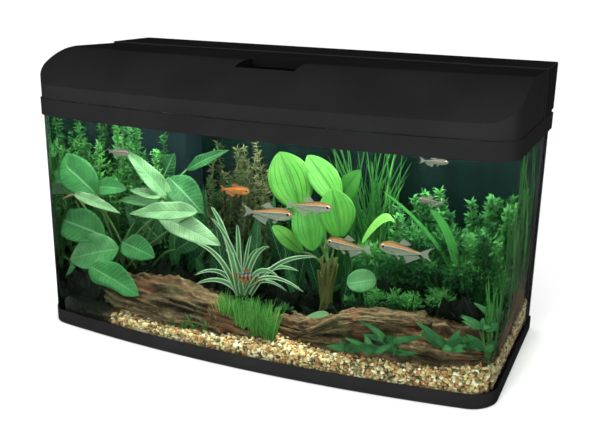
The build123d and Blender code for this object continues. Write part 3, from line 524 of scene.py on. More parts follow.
def curve(base, tip, bulge, count, drop=0.5):
    """Points and directions along a simple arch from base to tip."""
    t = np.linspace(0, 1, count)[:, None]
    middle = base + (tip - base) * drop + bulge
    points = (1 - t) ** 2 * base + 2 * t * (1 - t) * middle + t ** 2 * tip
    ways = 2 * (1 - t) * (middle - base) + 2 * t * (tip - middle)
    return points, unit(ways)


def front_y(x, inset):
    """The front of the tank at x, inset from the outside of the bent pane."""
    x = np.abs(x)
    bow = BOW_CENTRE_Y - np.sqrt((BOW_R - inset) ** 2 - np.minimum(x, HALF - inset) ** 2)
    bend = CORNER_Y - np.sqrt(np.maximum((CORNER_R - inset) ** 2 - (x - CORNER_X) ** 2, 0))
    return np.where(x > CORNER_X, np.maximum(bend, bow), bow)


def keep_inside(points):
    """Moves points that would be in the glass back to the water side."""
    p = points.copy()
    p[..., 0] = np.clip(p[..., 0], -SIDE_X, SIDE_X)
    p[..., 1] = np.minimum(p[..., 1], BACK_Y)
    p[..., 1] = np.maximum(p[..., 1], front_y(p[..., 0], GLASS_T + 3 * MM))
    p[..., 2] = np.clip(p[..., 2], FLOOR_Z + MM, WATER_Z - MM)
    return p


# ---------------------------------------------------------------- leaves
# How wide a blade is along its length, from its base at 0 to its tip at 1.
SHAPES = {
    "oval": lambda v: np.sin(np.pi * v ** 0.85) ** 0.75,
    "lance": lambda v: np.sin(np.pi * v ** 0.7) ** 0.9,
    "sword": lambda v: np.sin(np.pi * (0.04 + 0.96 * v) ** 1.05) ** 0.7,
    "strap": lambda v: np.minimum(1, 6 * v + 0.35) * np.sqrt(np.maximum(1 - v ** 6, 0)) * (1 - 0.35 * v),
    "round": lambda v: np.sqrt(np.maximum(1 - (2 * v - 1) ** 2, 0)),
}
TO_FRONT = unit(np.array([0.36, -0.75, 0.55]))    # most leaves' upper sides look this way


def leaf(bunch, base, tip, width, tone, shape="lance", arch=0.12, facing=TO_FRONT, fold=0.15,
         ripple=0.0, rows=14, across=6):
    """One leaf blade from base to tip; facing is the way its upper side looks,
    arch its rise and fold and ripple its relief against its own size."""
    facing = unit(np.asarray(facing, float))
    span = np.linalg.norm(tip - base)
    points, ways = curve(base, tip, facing * arch * span, rows)
    v = np.linspace(0, 1, rows)
    u = np.linspace(-1, 1, across + 1)
    half = width / 2 * SHAPES[shape](v)
    wave = ripple * 2 * half * np.sin(v * span / (width * 0.55) * 2 + tone * 20)
    side = unit(np.cross(ways, facing))
    normal = unit(np.cross(side, ways))
    reach = half[:, None] * u
    lift = fold * np.abs(reach) + wave[:, None] * u ** 2
    grid = points[:, None] + side[:, None] * reach[..., None] + normal[:, None] * lift[..., None]
    bunch.grid(keep_inside(grid), guide_grid(u, v, tone))


def stalk(bunch, base, tip, thick, thin, bend, tone, rows=9, sides=6):
    """A tapering round stem; bend moves its middle."""
    points, ways = curve(base, tip, bend, rows)
    side = unit(np.cross(ways, (0.31, 0.9, 0.29)))
    other = np.cross(ways, side)
    radius = np.linspace(thick, thin, rows)[:, None, None]
    angles = np.linspace(0, 2 * np.pi, sides, endpoint=False)[None, :, None]
    ring = np.cos(angles) * side[:, None] + np.sin(angles) * other[:, None]
    guide = guide_grid(np.zeros(sides), np.linspace(0, 1, rows), tone)
    bunch.grid(keep_inside(points[:, None] + radius * ring), guide, wrap=True)


def guide_values(tree):
    """The three shading values: across the leaf, along it, and the leaf's own tone."""
    return split(tree, put(tree, "ShaderNodeAttribute", attribute_name="guide").outputs["Vector"])


def leaf_material(name, stops, vein, side_veins=0.0, long_veins=1.0, strength=0.2, glow=0.3, rough=0.4,
                  edge=None):
    """Leaf colours by tone, under a midrib and the given number of side or lengthwise
    veins; edge is the colour of a pale rim."""
    mat, tree, bsdf = new_material(name, stops[0], rough, shine=0.35)
    across, along, tone = guide_values(tree)
    reach = calc(tree, "ABSOLUTE", across)
    patches = calc(tree, "MULTIPLY_ADD", clouds(tree, 60.0, 4), 0.5, tone)
    shade = ramp(tree, minus(tree, patches, 0.25), list(zip((0, 0.5, 1), stops)))
    if side_veins:
        run = minus(tree, times(tree, along, side_veins), times(tree, reach, 1.6))
    else:
        run = times(tree, across, long_veins)
    saw = calc(tree, "ABSOLUTE", minus(tree, calc(tree, "FRACT", run), 0.5))
    ribs = minus(tree, 1.0, smooth(tree, saw, 0.0, 0.16 if side_veins else 0.1))
    midrib = minus(tree, 1.0, smooth(tree, reach, 0.03, 0.10))
    lines = calc(tree, "MAXIMUM", times(tree, ribs, strength), times(tree, midrib, 0.5))
    shade = blend(tree, lines, shade, vein)
    if edge:
        shade = blend(tree, smooth(tree, reach, 0.50, 0.62), shade, edge)
    fine = clouds(tree, 700.0, 3)
    shade = blend(tree, times(tree, fine, 0.3), shade, (0.02, 0.04, 0.01), "MULTIPLY")
    paint(tree, bsdf, shade)
    grooves = times(tree, calc(tree, "MAXIMUM", ribs, midrib), -0.45)
    bump(tree, bsdf, calc(tree, "MULTIPLY_ADD", fine, 0.15, grooves), 2.2 * MM, 0.8)
    surface(tree, glow, bsdf, put(tree, "ShaderNodeBsdfTranslucent", {"Color": shade}))
    return mat


# Dark, middle and light tone, then the veins' colour.
GREENS = {
    "broad": leaf_material(
        "broad_leaf", ((0.006, 0.042, 0.014), (0.045, 0.235, 0.066), (0.235, 0.42, 0.22)),
        (0.18, 0.42, 0.20), side_veins=13, strength=0.16),
    "shade": leaf_material(
        "shaded_leaf", ((0.0015, 0.004, 0.002), (0.004, 0.012, 0.005), (0.012, 0.04, 0.014)),
        (0.008, 0.02, 0.008), side_veins=9, glow=0.1, rough=0.7),
    "sword": leaf_material(
        "sword_leaf", ((0.022, 0.12, 0.022), (0.068, 0.31, 0.04), (0.20, 0.50, 0.09)),
        (0.02, 0.13, 0.02), long_veins=4, strength=0.7, glow=0.4),
    "grass": leaf_material(
        "grass_blade", ((0.012, 0.09, 0.015), (0.04, 0.24, 0.04), (0.22, 0.55, 0.10)), (0.10, 0.34, 0.08)),
    "fern": leaf_material(
        "feathery_leaf", ((0.007, 0.048, 0.014), (0.020, 0.135, 0.035), (0.10, 0.38, 0.09)),
        (0.05, 0.22, 0.06)),
    "olive": leaf_material(
        "olive_leaf", ((0.02, 0.035, 0.014), (0.08, 0.10, 0.04), (0.26, 0.24, 0.12)), (0.20, 0.20, 0.10)),
    "spider": leaf_material(
        "striped_leaf", ((0.02, 0.12, 0.03), (0.05, 0.24, 0.06), (0.14, 0.42, 0.12)),
        (0.06, 0.28, 0.08), edge=(0.46, 0.62, 0.44)),
    "stem": leaf_material(
        "stem_skin", ((0.10, 0.055, 0.016), (0.07, 0.20, 0.05), (0.30, 0.12, 0.10)),
        (0.05, 0.12, 0.03), strength=0.0, glow=0.1),
}
dice = random.Random(11)


def planted(name, bunch, green, thick=0.0):
    """A finished plant; thick gives its blades a real thickness in metres."""
    obj = bunch.piece(name, GREENS[green], "leaf")
    if thick:
        obj.modifiers.new("thickness", "SOLIDIFY").thickness = thick


# ---------------------------------------------------------------- ground
def surface_of(node):
    """A CAD node's faces, ready for ray casts."""
    mesh = NODES[node].data
    return BVHTree.FromPolygons([v.co.copy() for v in mesh.vertices], [p.vertices[:] for p in mesh.polygons])


GROUND = surface_of("gravel_bed")


def ground_z(x, y):
    """Height of the bed's top."""
    hit = GROUND.ray_cast(Vector((x, y, WATER_Z)), Vector((0, 0, -1)))[0]
    return hit.z if hit else FLOOR_Z + 12 * MM


def pebble_places(rng, wood_boxes):
    """Centres for the pebbles: over the top of the bed and against the panes."""
    places = []
    step = 6.6 * MM
    for x in np.arange(PLANTED_X, SIDE_X - 3 * MM, step):
        for y in np.arange(glass_low.y, LOG_BACK_Y, step):
            px = x + rng.uniform(-0.5, 0.5) * step
            py = y + rng.uniform(-0.5, 0.5) * step
            under_wood = any(a < px < b and c < py < d for a, b, c, d in wood_boxes)
            if py >= front_y(px, GLASS_T + 3 * MM) and not under_wood:
                places.append((px, py, ground_z(px, py) + rng.uniform(-0.8, 1.6) * MM))
    gap = GLASS_T + 2.6 * MM
    along = np.arange(-(HALF - gap - MM), HALF - gap, 5.6 * MM)
    wall = [(x, float(front_y(x, gap))) for x in along]
    turn_y = wall[0][1]
    wall = [spot for spot in wall if spot[0] > PLANTED_X]
    for y in np.arange(turn_y, BACK_Y, 6.0 * MM):
        wall.append((HALF - gap, float(y)))
    for x, y in wall:
        top = ground_z(x * 0.97, y + 8 * MM if y < 0 else y)
        for z in np.arange(FLOOR_Z + 6 * MM, top + 2 * MM, 4.6 * MM):
            stray = vec(rng.uniform(-2, 2), rng.uniform(0, 0.8), rng.uniform(-1, 1))
            places.append(stray + (x, y, z))
    return np.array(places)


def pebbles(name, places, rng, mat):
    """One piece with a lumpy stone at every place."""
    ball = bmesh.new()
    bmesh.ops.create_icosphere(ball, subdivisions=2, radius=1.0)
    shape = np.array([v.co[:] for v in ball.verts])
    faces = np.array([[v.index for v in f.verts] for f in ball.faces])
    ball.free()
    count = len(places)
    size = rng.uniform(2.4, 4.9, (count, 1)) * MM
    width = rng.uniform(0.62, 0.95, count)
    height = rng.uniform(0.45, 0.75, count)
    scale = size * np.stack([np.ones(count), width, height], 1)
    waves = rng.normal(0, 1.5, (count, 1, 3))
    lumps = 1 + 0.13 * np.sin((shape[None] * waves).sum(2) * 1.7 + rng.uniform(0, 6, (count, 1)))
    solid = shape[None] * lumps[:, :, None] * scale[:, None, :]
    spin = unit(rng.normal(0, 1, (count, 4)) * (1, 0.35, 0.35, 1.4))    # unit quaternions
    turn, axis = spin[:, None, :1], spin[:, None, 1:]
    sideways = 2 * np.cross(axis, solid)
    solid += turn * sideways + np.cross(axis, sideways) + places[:, None]
    gap = GLASS_T + 0.3 * MM
    solid[..., 0] = np.clip(solid[..., 0], gap - HALF, HALF - gap)
    solid[..., 1] = np.maximum(solid[..., 1], front_y(solid[..., 0], gap))
    tones = np.repeat(rng.uniform(0, 1, count), len(shape))
    bunch = Bunch()
    guide = np.stack([np.zeros_like(tones), np.tile(shape[:, 2], count), tones], 1)
    all_faces = (faces + len(shape) * np.arange(count)[:, None, None]).reshape(-1, 3)
    bunch.add(solid, all_faces, guide)
    return bunch.piece(name, mat, "gravel")


# Where each kind of stone begins on a scale of 0 to 1, and its colour.
STONES = (
    (0.0, (0.78, 0.64, 0.36)), (0.16, (0.60, 0.42, 0.19)), (0.33, (0.48, 0.28, 0.11)),
    (0.48, (0.92, 0.85, 0.64)), (0.62, (0.27, 0.23, 0.11)), (0.73, (0.44, 0.20, 0.09)),
    (0.85, (0.09, 0.09, 0.06)), (0.91, (0.70, 0.58, 0.28)),
)


def pebble_material():
    """Mixed river pebbles: each stone one colour, faintly speckled and damp."""
    mat, tree, bsdf = new_material("river_pebble", (0.4, 0.3, 0.15), 0.35, shine=0.45)
    shade = ramp(tree, guide_values(tree)[2], STONES, steps=True)
    specks = smooth(tree, clouds(tree, 900.0, 3), 0.35, 0.7)
    shade = blend(tree, times(tree, specks, 0.5), shade, (0.25, 0.2, 0.14), "MULTIPLY")
    paint(tree, bsdf, shade)
    bump(tree, bsdf, specks, 0.2 * MM, 0.5)
    return mat


def bed_material():
    """The bed under the loose pebbles: packed stones with dark gaps, and painted shade, near black, left of
    the planted line and behind the logs.
    """
    mat, tree, bsdf = new_material("gravel_pack", (0.3, 0.22, 0.1), 0.5)
    cells = {"Vector": place_of(tree), "Scale": 150.0}
    spread = put(tree, "ShaderNodeTexVoronoi", cells)
    gaps = put(tree, "ShaderNodeTexVoronoi", cells, feature="DISTANCE_TO_EDGE")
    tone = put(tree, "ShaderNodeSeparateColor", {0: spread.outputs["Color"]}).outputs[0]
    stone = smooth(tree, gaps.outputs[0], 0.02, 0.14)
    shade = blend(tree, stone, (0.02, 0.016, 0.008), ramp(tree, tone, STONES, steps=True))
    x, y, _ = split(tree, place_of(tree))
    ragged = calc(tree, "MULTIPLY_ADD", clouds(tree, 30.0, 3), 40 * MM, x)
    # Painted shade: the bed goes near black left of the planted line and behind the logs.
    unshaded_ground = smooth(tree, ragged, PLANTED_X - 10 * MM, PLANTED_X + 50 * MM)
    behind_logs = smooth(tree, y, LOG_BACK_Y - 10 * MM, LOG_BACK_Y + 10 * MM)
    unshaded_ground = calc(tree, "SUBTRACT", unshaded_ground, behind_logs, clamp=True)
    shade = blend(tree, unshaded_ground, (0.006, 0.009, 0.004), shade)
    paint(tree, bsdf, shade)
    bump(tree, bsdf, smooth(tree, gaps.outputs[0], 0.0, 0.3), 2 * MM)
    return mat


# ---------------------------------------------------------------- wood
def wood(bunch, stations, seed, rough, deep=False):
    """A weathered log: lengthwise ridges and splits, rough metres high, over a swept body.
    stations hold x, y, z, half height and half width in millimetres.
    It runs along X, or along Y when deep is set, where x and y change places."""
    rows, sides = 150, 96
    stations = np.array(stations, float) * MM
    along = np.linspace(0, 1, len(stations))
    t = np.linspace(0, 1, rows)
    soft = t + 0.02 * np.sin(t * 19 + seed)
    spine = np.stack([np.interp(soft, along, stations[:, k]) for k in range(5)], 1)
    for _ in range(6):
        spine[1:-1] = (spine[:-2] + spine[1:-1] * 2 + spine[2:]) / 4
    grid = np.empty((rows, sides, 3))
    guide = np.zeros((rows, sides, 3))
    for i in range(rows):
        x, y, z, tall, wide = spine[i]
        end = min(1.0, math.sin(math.pi * min(max(t[i], 0.004), 0.996)) ** 0.35 + 0.15)
        for j in range(sides):
            angle = 2 * math.pi * j / sides
            c, s = math.cos(angle), math.sin(angle)
            layer = noise.ridged_multi_fractal(
                Vector((x * 8 + seed, c * 2.0 + y * 8, s * 6.5 + z * 16)), 0.8, 2.2, 5, 0.9, 2.0)
            knots = noise.fractal(Vector((x * 34, c * 1.6 + seed, s * 2.2)), 0.8, 2.0, 4)
            lift = rough * ((layer - 1.2) * 0.75 + knots * 1.3)
            grid[i, j] = (
                x + 0.5 * rough * knots, y + c * (wide * end + lift), z + s * (tall * end + lift))
            guide[i, j, 0] = layer / 2.4
    if deep:
        grid = grid[:, ::-1, [1, 0, 2]]
    bunch.grid(keep_inside(grid), guide, wrap=True)


def wood_material():
    """Brown driftwood: tan on the ridges, dark in the splits, reddish patches and grain."""
    mat, tree, bsdf = new_material("driftwood", (0.12, 0.09, 0.05), 0.75, shine=0.25)
    layer = guide_values(tree)[0]
    fine = clouds(tree, 90.0, 6, stretch=(0.22, 1, 2.4), rough=0.7)
    strands = clouds(tree, 300.0, 4, stretch=(0.06, 1, 1.6), rough=0.7)
    mixed = calc(tree, "MULTIPLY_ADD", fine, 0.42, times(tree, layer, 0.62))
    mixed = calc(tree, "MULTIPLY_ADD", minus(tree, strands, 0.5), 0.45, mixed)
    shade = ramp(tree, mixed, [
        (0.24, (0.004, 0.003, 0.002)), (0.42, (0.045, 0.030, 0.014)),
        (0.58, (0.16, 0.11, 0.058)), (0.80, (0.42, 0.32, 0.19)),
    ])
    red = smooth(tree, clouds(tree, 16.0, 3, seed=3.0), 0.5, 0.68)
    shade = blend(tree, times(tree, red, 0.55), shade, (0.15, 0.06, 0.028))
    algae = smooth(tree, clouds(tree, 20.0, 4, seed=9.0), 0.52, 0.7)
    shade = blend(tree, times(tree, algae, 0.5), shade, (0.05, 0.06, 0.022))
    paint(tree, bsdf, shade)
    bump(tree, bsdf, mixed, 4 * MM, 0.9)
    return mat


# Low and high x, then low and high y, of the ground under each log, in metres.
UNDER_LOGS = ((-0.30, -0.08, -0.12, -0.06), (0.13, 0.36, -0.12, -0.06))
# Stations of the logs and of the branches over the right one.
LEFT_LOG = (
    (-356, -62, 38, 18, 24), (-298, -80, 50, 30, 42), (-236, -94, 53, 38, 50), (-165, -102, 52, 41, 54),
    (-92, -106, 48, 36, 50), (-24, -112, 42, 28, 38), (50, -118, 32, 12, 20),
)
RIGHT_LOG = (
    (-40, -66, 44, 10, 24), (20, -84, 46, 18, 34), (70, -98, 44, 22, 32), (110, -106, 44, 30, 34),
    (150, -106, 52, 42, 42), (205, -102, 58, 47, 48), (262, -98, 60, 49, 50), (316, -94, 58, 42, 48),
    (362, -84, 56, 32, 40), (387, -72, 54, 18, 28),
)
RIGHT_RIDGE = (
    (54, -124, 34, 5, 12), (104, -118, 62, 7, 22), (146, -116, 88, 8, 28), (192, -114, 100, 7, 30),
    (240, -110, 103, 7, 29), (292, -104, 100, 5, 22),
)
SIDE_BRANCH = (
    (-118, 376, 46, 24, 10), (-60, 379, 56, 38, 12), (20, 380, 62, 52, 13), (100, 380, 72, 62, 13),
    (170, 378, 80, 64, 12),
)


def make_ground():
    """Gravel and the two pieces of driftwood."""
    bed = NODES["gravel_bed"].data
    bed.materials.clear()
    bed.materials.append(bed_material())
    rng = np.random.default_rng(5)
    places = pebble_places(rng, UNDER_LOGS)
    stone = pebble_material()
    left = places[:, 0] < 0
    pebbles("pebbles_left", places[left], rng, stone)
    pebbles("pebbles_right", places[~left], rng, stone)
    bark = wood_material()
    left_wood, right_wood = Bunch(), Bunch()
    wood(left_wood, LEFT_LOG, 3.1, 6.5 * MM)
    wood(right_wood, RIGHT_LOG, 8.3, 7.5 * MM)
    wood(right_wood, RIGHT_RIDGE, 5.7, 4 * MM)
    wood(right_wood, SIDE_BRANCH, 1.9, 4 * MM, deep=True)
    for node, bunch in (("driftwood_left", left_wood), ("driftwood_right", right_wood)):
        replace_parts(bunch.piece(node + "_bark", bark, "wood"), node)


# ---------------------------------------------------------------- plants
# Base, tip, width, tone and arch of each leaf, in millimetres.
BROAD_LEAVES = (
    ((-352, -64, 216), (-412, -96, 286), 62, 0.42, 0.20),
    ((-376, -50, 222), (-300, -44, 226), 36, 0.45, 0.20),
    ((-372, -98, 222), (-270, -104, 200), 20, 0.95, 0.10),
    ((-396, -80, 216), (-420, -104, 236), 20, 0.90, 0.20),
    ((-322, -84, 146), (-418, -108, 176), 62, 0.30, 0.16),
    ((-288, -90, 130), (-376, -116, 104), 64, 0.58, 0.16),
    ((-322, -128, 104), (-206, -150, 76), 52, 0.46, 0.20),
    ((-284, -84, 140), (-204, -104, 130), 44, 0.28, 0.12),
    ((-424, -98, 78), (-376, -104, 84), 50, 0.40, 0.12),
    ((-218, -24, 210), (-304, -40, 298), 32, 0.78, 0.12),
    ((-240, 0, 246), (-164, -10, 190), 54, 0.25, 0.18),
    ((-140, -66, 210), (-278, -70, 190), 34, 0.88, 0.14),
    ((-224, -60, 192), (-92, -74, 160), 42, 1.05, 0.10),
    ((-228, 40, 254), (-138, 40, 300), 24, 0.15, 0.12),
    ((-230, -40, 220), (-294, -44, 226), 20, 0.85, 0.10),
    ((-228, -34, 212), (-322, -40, 202), 26, 0.70, 0.10),
    ((-260, 0, 120), (-330, -10, 190), 46, 0.10, 0.15),
    ((-330, 20, 120), (-388, 10, 210), 52, 0.12, 0.15),
    ((-230, 0, 110), (-150, 0, 160), 44, 0.08, 0.15),
    ((-340, 60, 150), (-386, 60, 250), 56, 0.10, 0.10),
    ((-350, -60, 60), (-386, -90, 120), 40, 0.12, 0.20),
    ((-300, 40, 190), (-260, 50, 280), 44, 0.10, 0.10),
    ((-300, -60, 60), (-330, -100, 48), 28, 0.15, 0.30),
    ((-250, -96, 60), (-216, -116, 42), 20, 0.30, 0.30),
)


def broad_plant():
    """The big broad-leaved plant in the left front corner."""
    blades, stems = Bunch(), Bunch()
    crown = vec(-320, -30, 60)
    for base, tip, width, tone, arch in BROAD_LEAVES:
        base, tip = vec(*base), vec(*tip)
        shape = "oval" if width > 34 else "lance"
        leaf(blades, base, tip, width * MM, tone, shape, arch, fold=0.22, ripple=0.10, rows=24, across=10)
        root = crown + vec(dice.uniform(-40, 30), dice.uniform(-20, 30), 0)
        bend = (base - crown) * 0.1 + vec(0, -10, 20)
        stalk(stems, root, base, 2.4 * MM, 1.6 * MM, bend, 0.5)
    stalk(stems, vec(-368, -98, 220), vec(-388, -110, 212), 2.2 * MM, 1.6 * MM, vec(0, 0, 4), 1.0)
    planted("broad_plant_leaves", blades, "broad", 0.6 * MM)
    planted("broad_plant_stems", stems, "stem")


def sword_plant():
    """The bright sword plant in the middle, on its bundle of brown stalks."""
    blades, stems = Bunch(), Bunch()
    leaves = (    # base, tip, width and tone
        ((34, -24, 226), (-10, -20, 320), 74, 0.62), ((94, -4, 240), (30, 6, 314), 50, 0.60),
        ((108, -29, 190), (88, -26, 270), 62, 0.55), ((34, -14, 236), (68, -49, 166), 56, 0.45),
        ((42, -34, 156), (-10, -44, 198), 28, 0.70), ((60, 20, 200), (120, 20, 296), 40, 0.25),
        ((60, 20, 160), (-30, 40, 250), 40, 0.2),
    )
    crown = vec(82, -22, 46)
    for base, tip, width, tone in leaves:
        leaf(blades, vec(*base), vec(*tip), width * MM, tone, "sword", fold=0.12, ripple=0.03,
             rows=26, across=12)
        low = crown + vec(dice.uniform(-8, 8), dice.uniform(-6, 6), 90)
        stalk(stems, low, vec(*base), 2.4 * MM, 1.8 * MM, vec(dice.uniform(-6, 6), -4, 10), 0.5)
    for _ in range(22):
        low = crown + vec(dice.uniform(-9, 9), dice.uniform(-8, 8), 0)
        high = vec(84 + dice.uniform(-17, 17), -22 + dice.uniform(-10, 10), dice.uniform(112, 152))
        bend = vec(dice.uniform(-3, 3), 0, 0)
        stalk(stems, low, high, 3.6 * MM, 2.2 * MM, bend, dice.uniform(-0.35, -0.05))
    planted("sword_plant_leaves", blades, "sword", 0.6 * MM)
    planted("sword_plant_stems", stems, "stem")


def spider_plant():
    """Arching striped leaves left of the middle."""
    blades = Bunch()
    crown = vec(-54, -66, 64)
    tips = (
        (-104, -84, 230), (-98, -96, 214), (-126, -98, 166), (-124, -108, 112), (-62, -70, 200),
        (-34, -74, 186), (-12, -88, 170), (52, -70, 136), (88, -80, 168), (72, -90, 108), (12, -98, 180),
        (22, -50, 88), (-90, -60, 150), (30, -100, 132), (-140, -80, 84),
    )
    for tip in tips:
        tip = vec(*tip)
        base = crown + vec(dice.uniform(-9, 9), dice.uniform(-8, 8), 0)
        rise = 26 + 0.35 * np.linalg.norm(tip - base) / MM * dice.uniform(0.5, 1.0)
        width = (7.5 + dice.uniform(0, 4.0)) * MM
        arched_blade(blades, base, tip, width, 0.15 + 0.6 * dice.random(), rise, rows=18, across=6)
    planted("striped_plant", blades, "spider", 0.4 * MM)


def arched_blade(bunch, base, tip, width, tone, rise, rows, across=2):
    """A grass blade that rises first and then bends over to its tip."""
    points = curve(base, tip, vec(0, 0, rise), rows, drop=0.35)[0]
    v = np.linspace(0, 1, rows)
    u = np.linspace(-1, 1, across + 1)
    half = width / 2 * SHAPES["strap"](v)
    side = unit(np.cross(tip - base + vec(0.1, 0.3, 0), TO_FRONT))
    grid = points[:, None] + side * (half[:, None] * u)[..., None]
    bunch.grid(keep_inside(grid), guide_grid(u, v, tone))


def tuft(bunch, x, y, count, height, spread, width, tones):
    """A clump of fine blades; sizes in millimetres."""
    foot = vec(x, y, ground_z(x * MM, y * MM) / MM)
    for _ in range(count):
        base = foot + vec(dice.gauss(0, spread * 0.25), dice.gauss(0, spread * 0.25), -2)
        lean = vec(dice.gauss(0, spread), dice.gauss(0, spread * 0.7), height * dice.uniform(0.55, 1.1))
        arched_blade(bunch, base, base + lean, width * MM, dice.uniform(*tones), height * 0.18, rows=8)


def small_grasses():
    """Bright hairgrass in front of the wood and darker clumps beside it."""
    blades = Bunch()
    for x in (-58, -46, -36, -24, -14, -2, 8, 18, 28, 40):
        tuft(blades, x, -138 + dice.uniform(-6, 10), 60, 66, 10, 1.2, (0.40, 1.0))
    for x, y in ((-74, -146), (-96, -150), (-118, -152), (-136, -150)):
        tuft(blades, x, y, 12, 30, 12, 2.6, (0.2, 0.6))
    planted("hairgrass", blades, "grass")


def ribbon_plants():
    """Long ribbons behind the sword plant and tall grass at the right pane."""
    blades = Bunch()
    for number in range(120):
        base = vec(120 + dice.uniform(-46, 52), dice.uniform(30, 110), 50)
        tip = vec(dice.uniform(26, 190), dice.uniform(30, 120), dice.uniform(200, 352))
        width = dice.uniform(2.0, 4.6) * MM
        tone = dice.uniform(-0.2, 0.36) + (0.4 if number % 9 == 0 else 0)
        arched_blade(blades, base, tip, width, tone, dice.uniform(20, 130), rows=16)
    for _ in range(150):
        side_y = dice.uniform(-120, 165)
        base = vec(388 - dice.uniform(0, 14), side_y, 52)
        highest = 215 + 0.8 * (side_y + 60)
        tip = vec(389 - dice.uniform(0, 24), side_y + dice.uniform(-40, 40), dice.uniform(110, highest))
        leaf(blades, base, tip, dice.uniform(1.8, 3.6) * MM, dice.uniform(0.0, 0.65), "strap",
             dice.uniform(-0.2, 0.2), facing=(0.6, -0.8, 0.1), fold=0.2, rows=12, across=2)
    for base, tip, width, tone in (
        ((306, -44, 160), (190, -70, 288), 7, 0.45), ((310, -54, 182), (266, -66, 268), 16, 0.4),
        ((204, -44, 236), (158, -66, 198), 16, 0.9),
    ):
        arched_blade(blades, vec(*base), vec(*tip), width * MM, tone, 34, rows=18, across=4)
    planted("ribbon_grass", blades, "grass")


def needles(bunch, bases, tips, width, tones, arch, facing):
    """Many small blades at once, each an arched grid of 4 rows and 3 columns, folded by a quarter."""
    v = np.array([0.0, 0.3, 0.65, 1.0])
    profile = np.array([0.35, 1.0, 0.8, 0.06])
    u = np.array([-1.0, 0.0, 1.0])
    along = tips - bases
    span = np.linalg.norm(along, axis=1)
    side = unit(np.cross(along, facing))
    normal = unit(np.cross(side, along))
    lift = (arch * span)[:, None] * 4 * v * (1 - v)
    points = bases[:, None] + along[:, None] * v[:, None] + normal[:, None] * lift[..., None]
    reach = (width / 2)[:, None, None] * profile[:, None] * u
    grid = points[:, :, None] + side[:, None, None] * reach[..., None]
    grid = keep_inside(grid + normal[:, None, None] * 0.25 * np.abs(reach)[..., None])
    guide = guide_grid(u, v, tones[:, None, None])
    row, column = np.divmod(np.arange(6), 2)
    here = row * 3 + column
    quads = np.stack([here, here + 1, here + 4, here + 3], 1)
    faces = (quads + 12 * np.arange(len(bases))[:, None, None]).reshape(-1, 4)
    bunch.add(grid, faces, guide.reshape(-1, 3))


def bushy_stem(blades, stems, base, tip, reach, step, count, width, tones, rng):
    """A stem with a ring of count small leaves every step, which stand out unevenly."""
    bend = vec(rng.uniform(-22, 22), rng.uniform(-12, 12), 0)
    points, ways = curve(base, tip, bend, 40)
    span = np.linalg.norm(tip - base)
    stalk(stems, base, tip, 1.3 * MM, 0.8 * MM, bend, 0.4, rows=8, sides=5)
    rings = int(span / step)
    v = np.repeat((np.arange(rings) + rng.uniform(0, 1, rings)) / rings, count).clip(0, 0.999)
    index = (v * 40).astype(int)
    middle, way = points[index], ways[index]
    side = unit(np.cross(way, (0.3, 0.8, 0.1)))
    other = np.cross(way, side)
    total = len(v)
    angle = rng.uniform(0, 2 * np.pi, total)[:, None]
    out = np.cos(angle) * side + np.sin(angle) * other
    size = reach * rng.uniform(0.55, 1.2, total) * (1 - 0.35 * v ** 3)
    ends = middle + (out + way * rng.uniform(-0.25, 1.1, total)[:, None]) * size[:, None]
    tone = rng.uniform(*tones) + 0.35 * (v - 0.5) + rng.uniform(-0.15, 0.2, total)
    facing = way + 0.4 * TO_FRONT + rng.normal(0, 0.3, (total, 3))
    widths = width * rng.uniform(0.7, 1.3, total)
    needles(blades, middle, ends, widths, tone, rng.uniform(-0.05, 0.3, total), facing)


def stem_plants():
    """Feathery stems: bright at the right, fine and curly at the left, brownish between."""
    rng = np.random.default_rng(21)
    stems = Bunch()
    beds = (    # name, green, stems, x, y, tops, (leaf, ring step, leaves a ring, leaf width), tones
        ("right", "fern", 60, (206, 386), (-44, 150), (165, 262), (17, 3.6, 7, 4.0), (-0.05, 0.72)),
        ("left", "fern", 44, (-387, -285), (-30, 110), (210, 356), (15, 4.6, 5, 3.2), (0.35, 1.15)),
        ("middle", "olive", 24, (-190, -70), (40, 130), (200, 315), (16, 5.0, 5, 2.6), (0.0, 0.7)),
        ("back", "fern", 24, (-262, 330), (90, 150), (150, 236), (17, 5.0, 5, 3.4), (-0.1, 0.4)),
    )
    for place, green, many, across, deep, tops, (reach, step, count, width), tones in beds:
        blades = Bunch()
        for _ in range(many):
            x, y = rng.uniform(*across), rng.uniform(*deep)
            low = vec(x + rng.uniform(-14, 14), y, 56)
            high = vec(x + rng.uniform(-16, 16), y - rng.uniform(0, 26), rng.uniform(*tops))
            bushy_stem(blades, stems, low, high, reach * MM, step * MM, count, width * MM, tones, rng)
        planted("feathery_stems_" + place, blades, green)
    planted("feathery_stalks", stems, "stem")


def filler_plants():
    """Low leaves, so that no bare ground shows between the plants; at the left, in the middle and in the
    cave they are near black, painted shade.
    """
    patches = (    # name, green, leaves, x, y, z of the roots, how far the tips rise
        ("back", "broad", 230, (-384, 384), (0, 160), 55, (30, 155)),
        ("left", "shade", 260, (-390, -262), (-112, 20), 30, (18, 62)),
        ("middle", "shade", 150, (-270, 120), (-80, 30), 44, (12, 46)),
        ("cave", "shade", 120, (200, 384), (-70, 20), 96, (8, 50)),
    )
    for place, green, many, across, deep, z, rise in patches:
        blades = Bunch()
        for _ in range(many):
            base = vec(dice.uniform(*across), dice.uniform(*deep), z)
            tip = base + vec(dice.uniform(-46, 46), dice.uniform(-30, 30), dice.uniform(*rise))
            leaf(blades, base, tip, dice.uniform(10, 24) * MM, dice.uniform(-0.15, 0.28), arch=0.15,
                 rows=8, across=4)
        planted("low_leaves_" + place, blades, green)


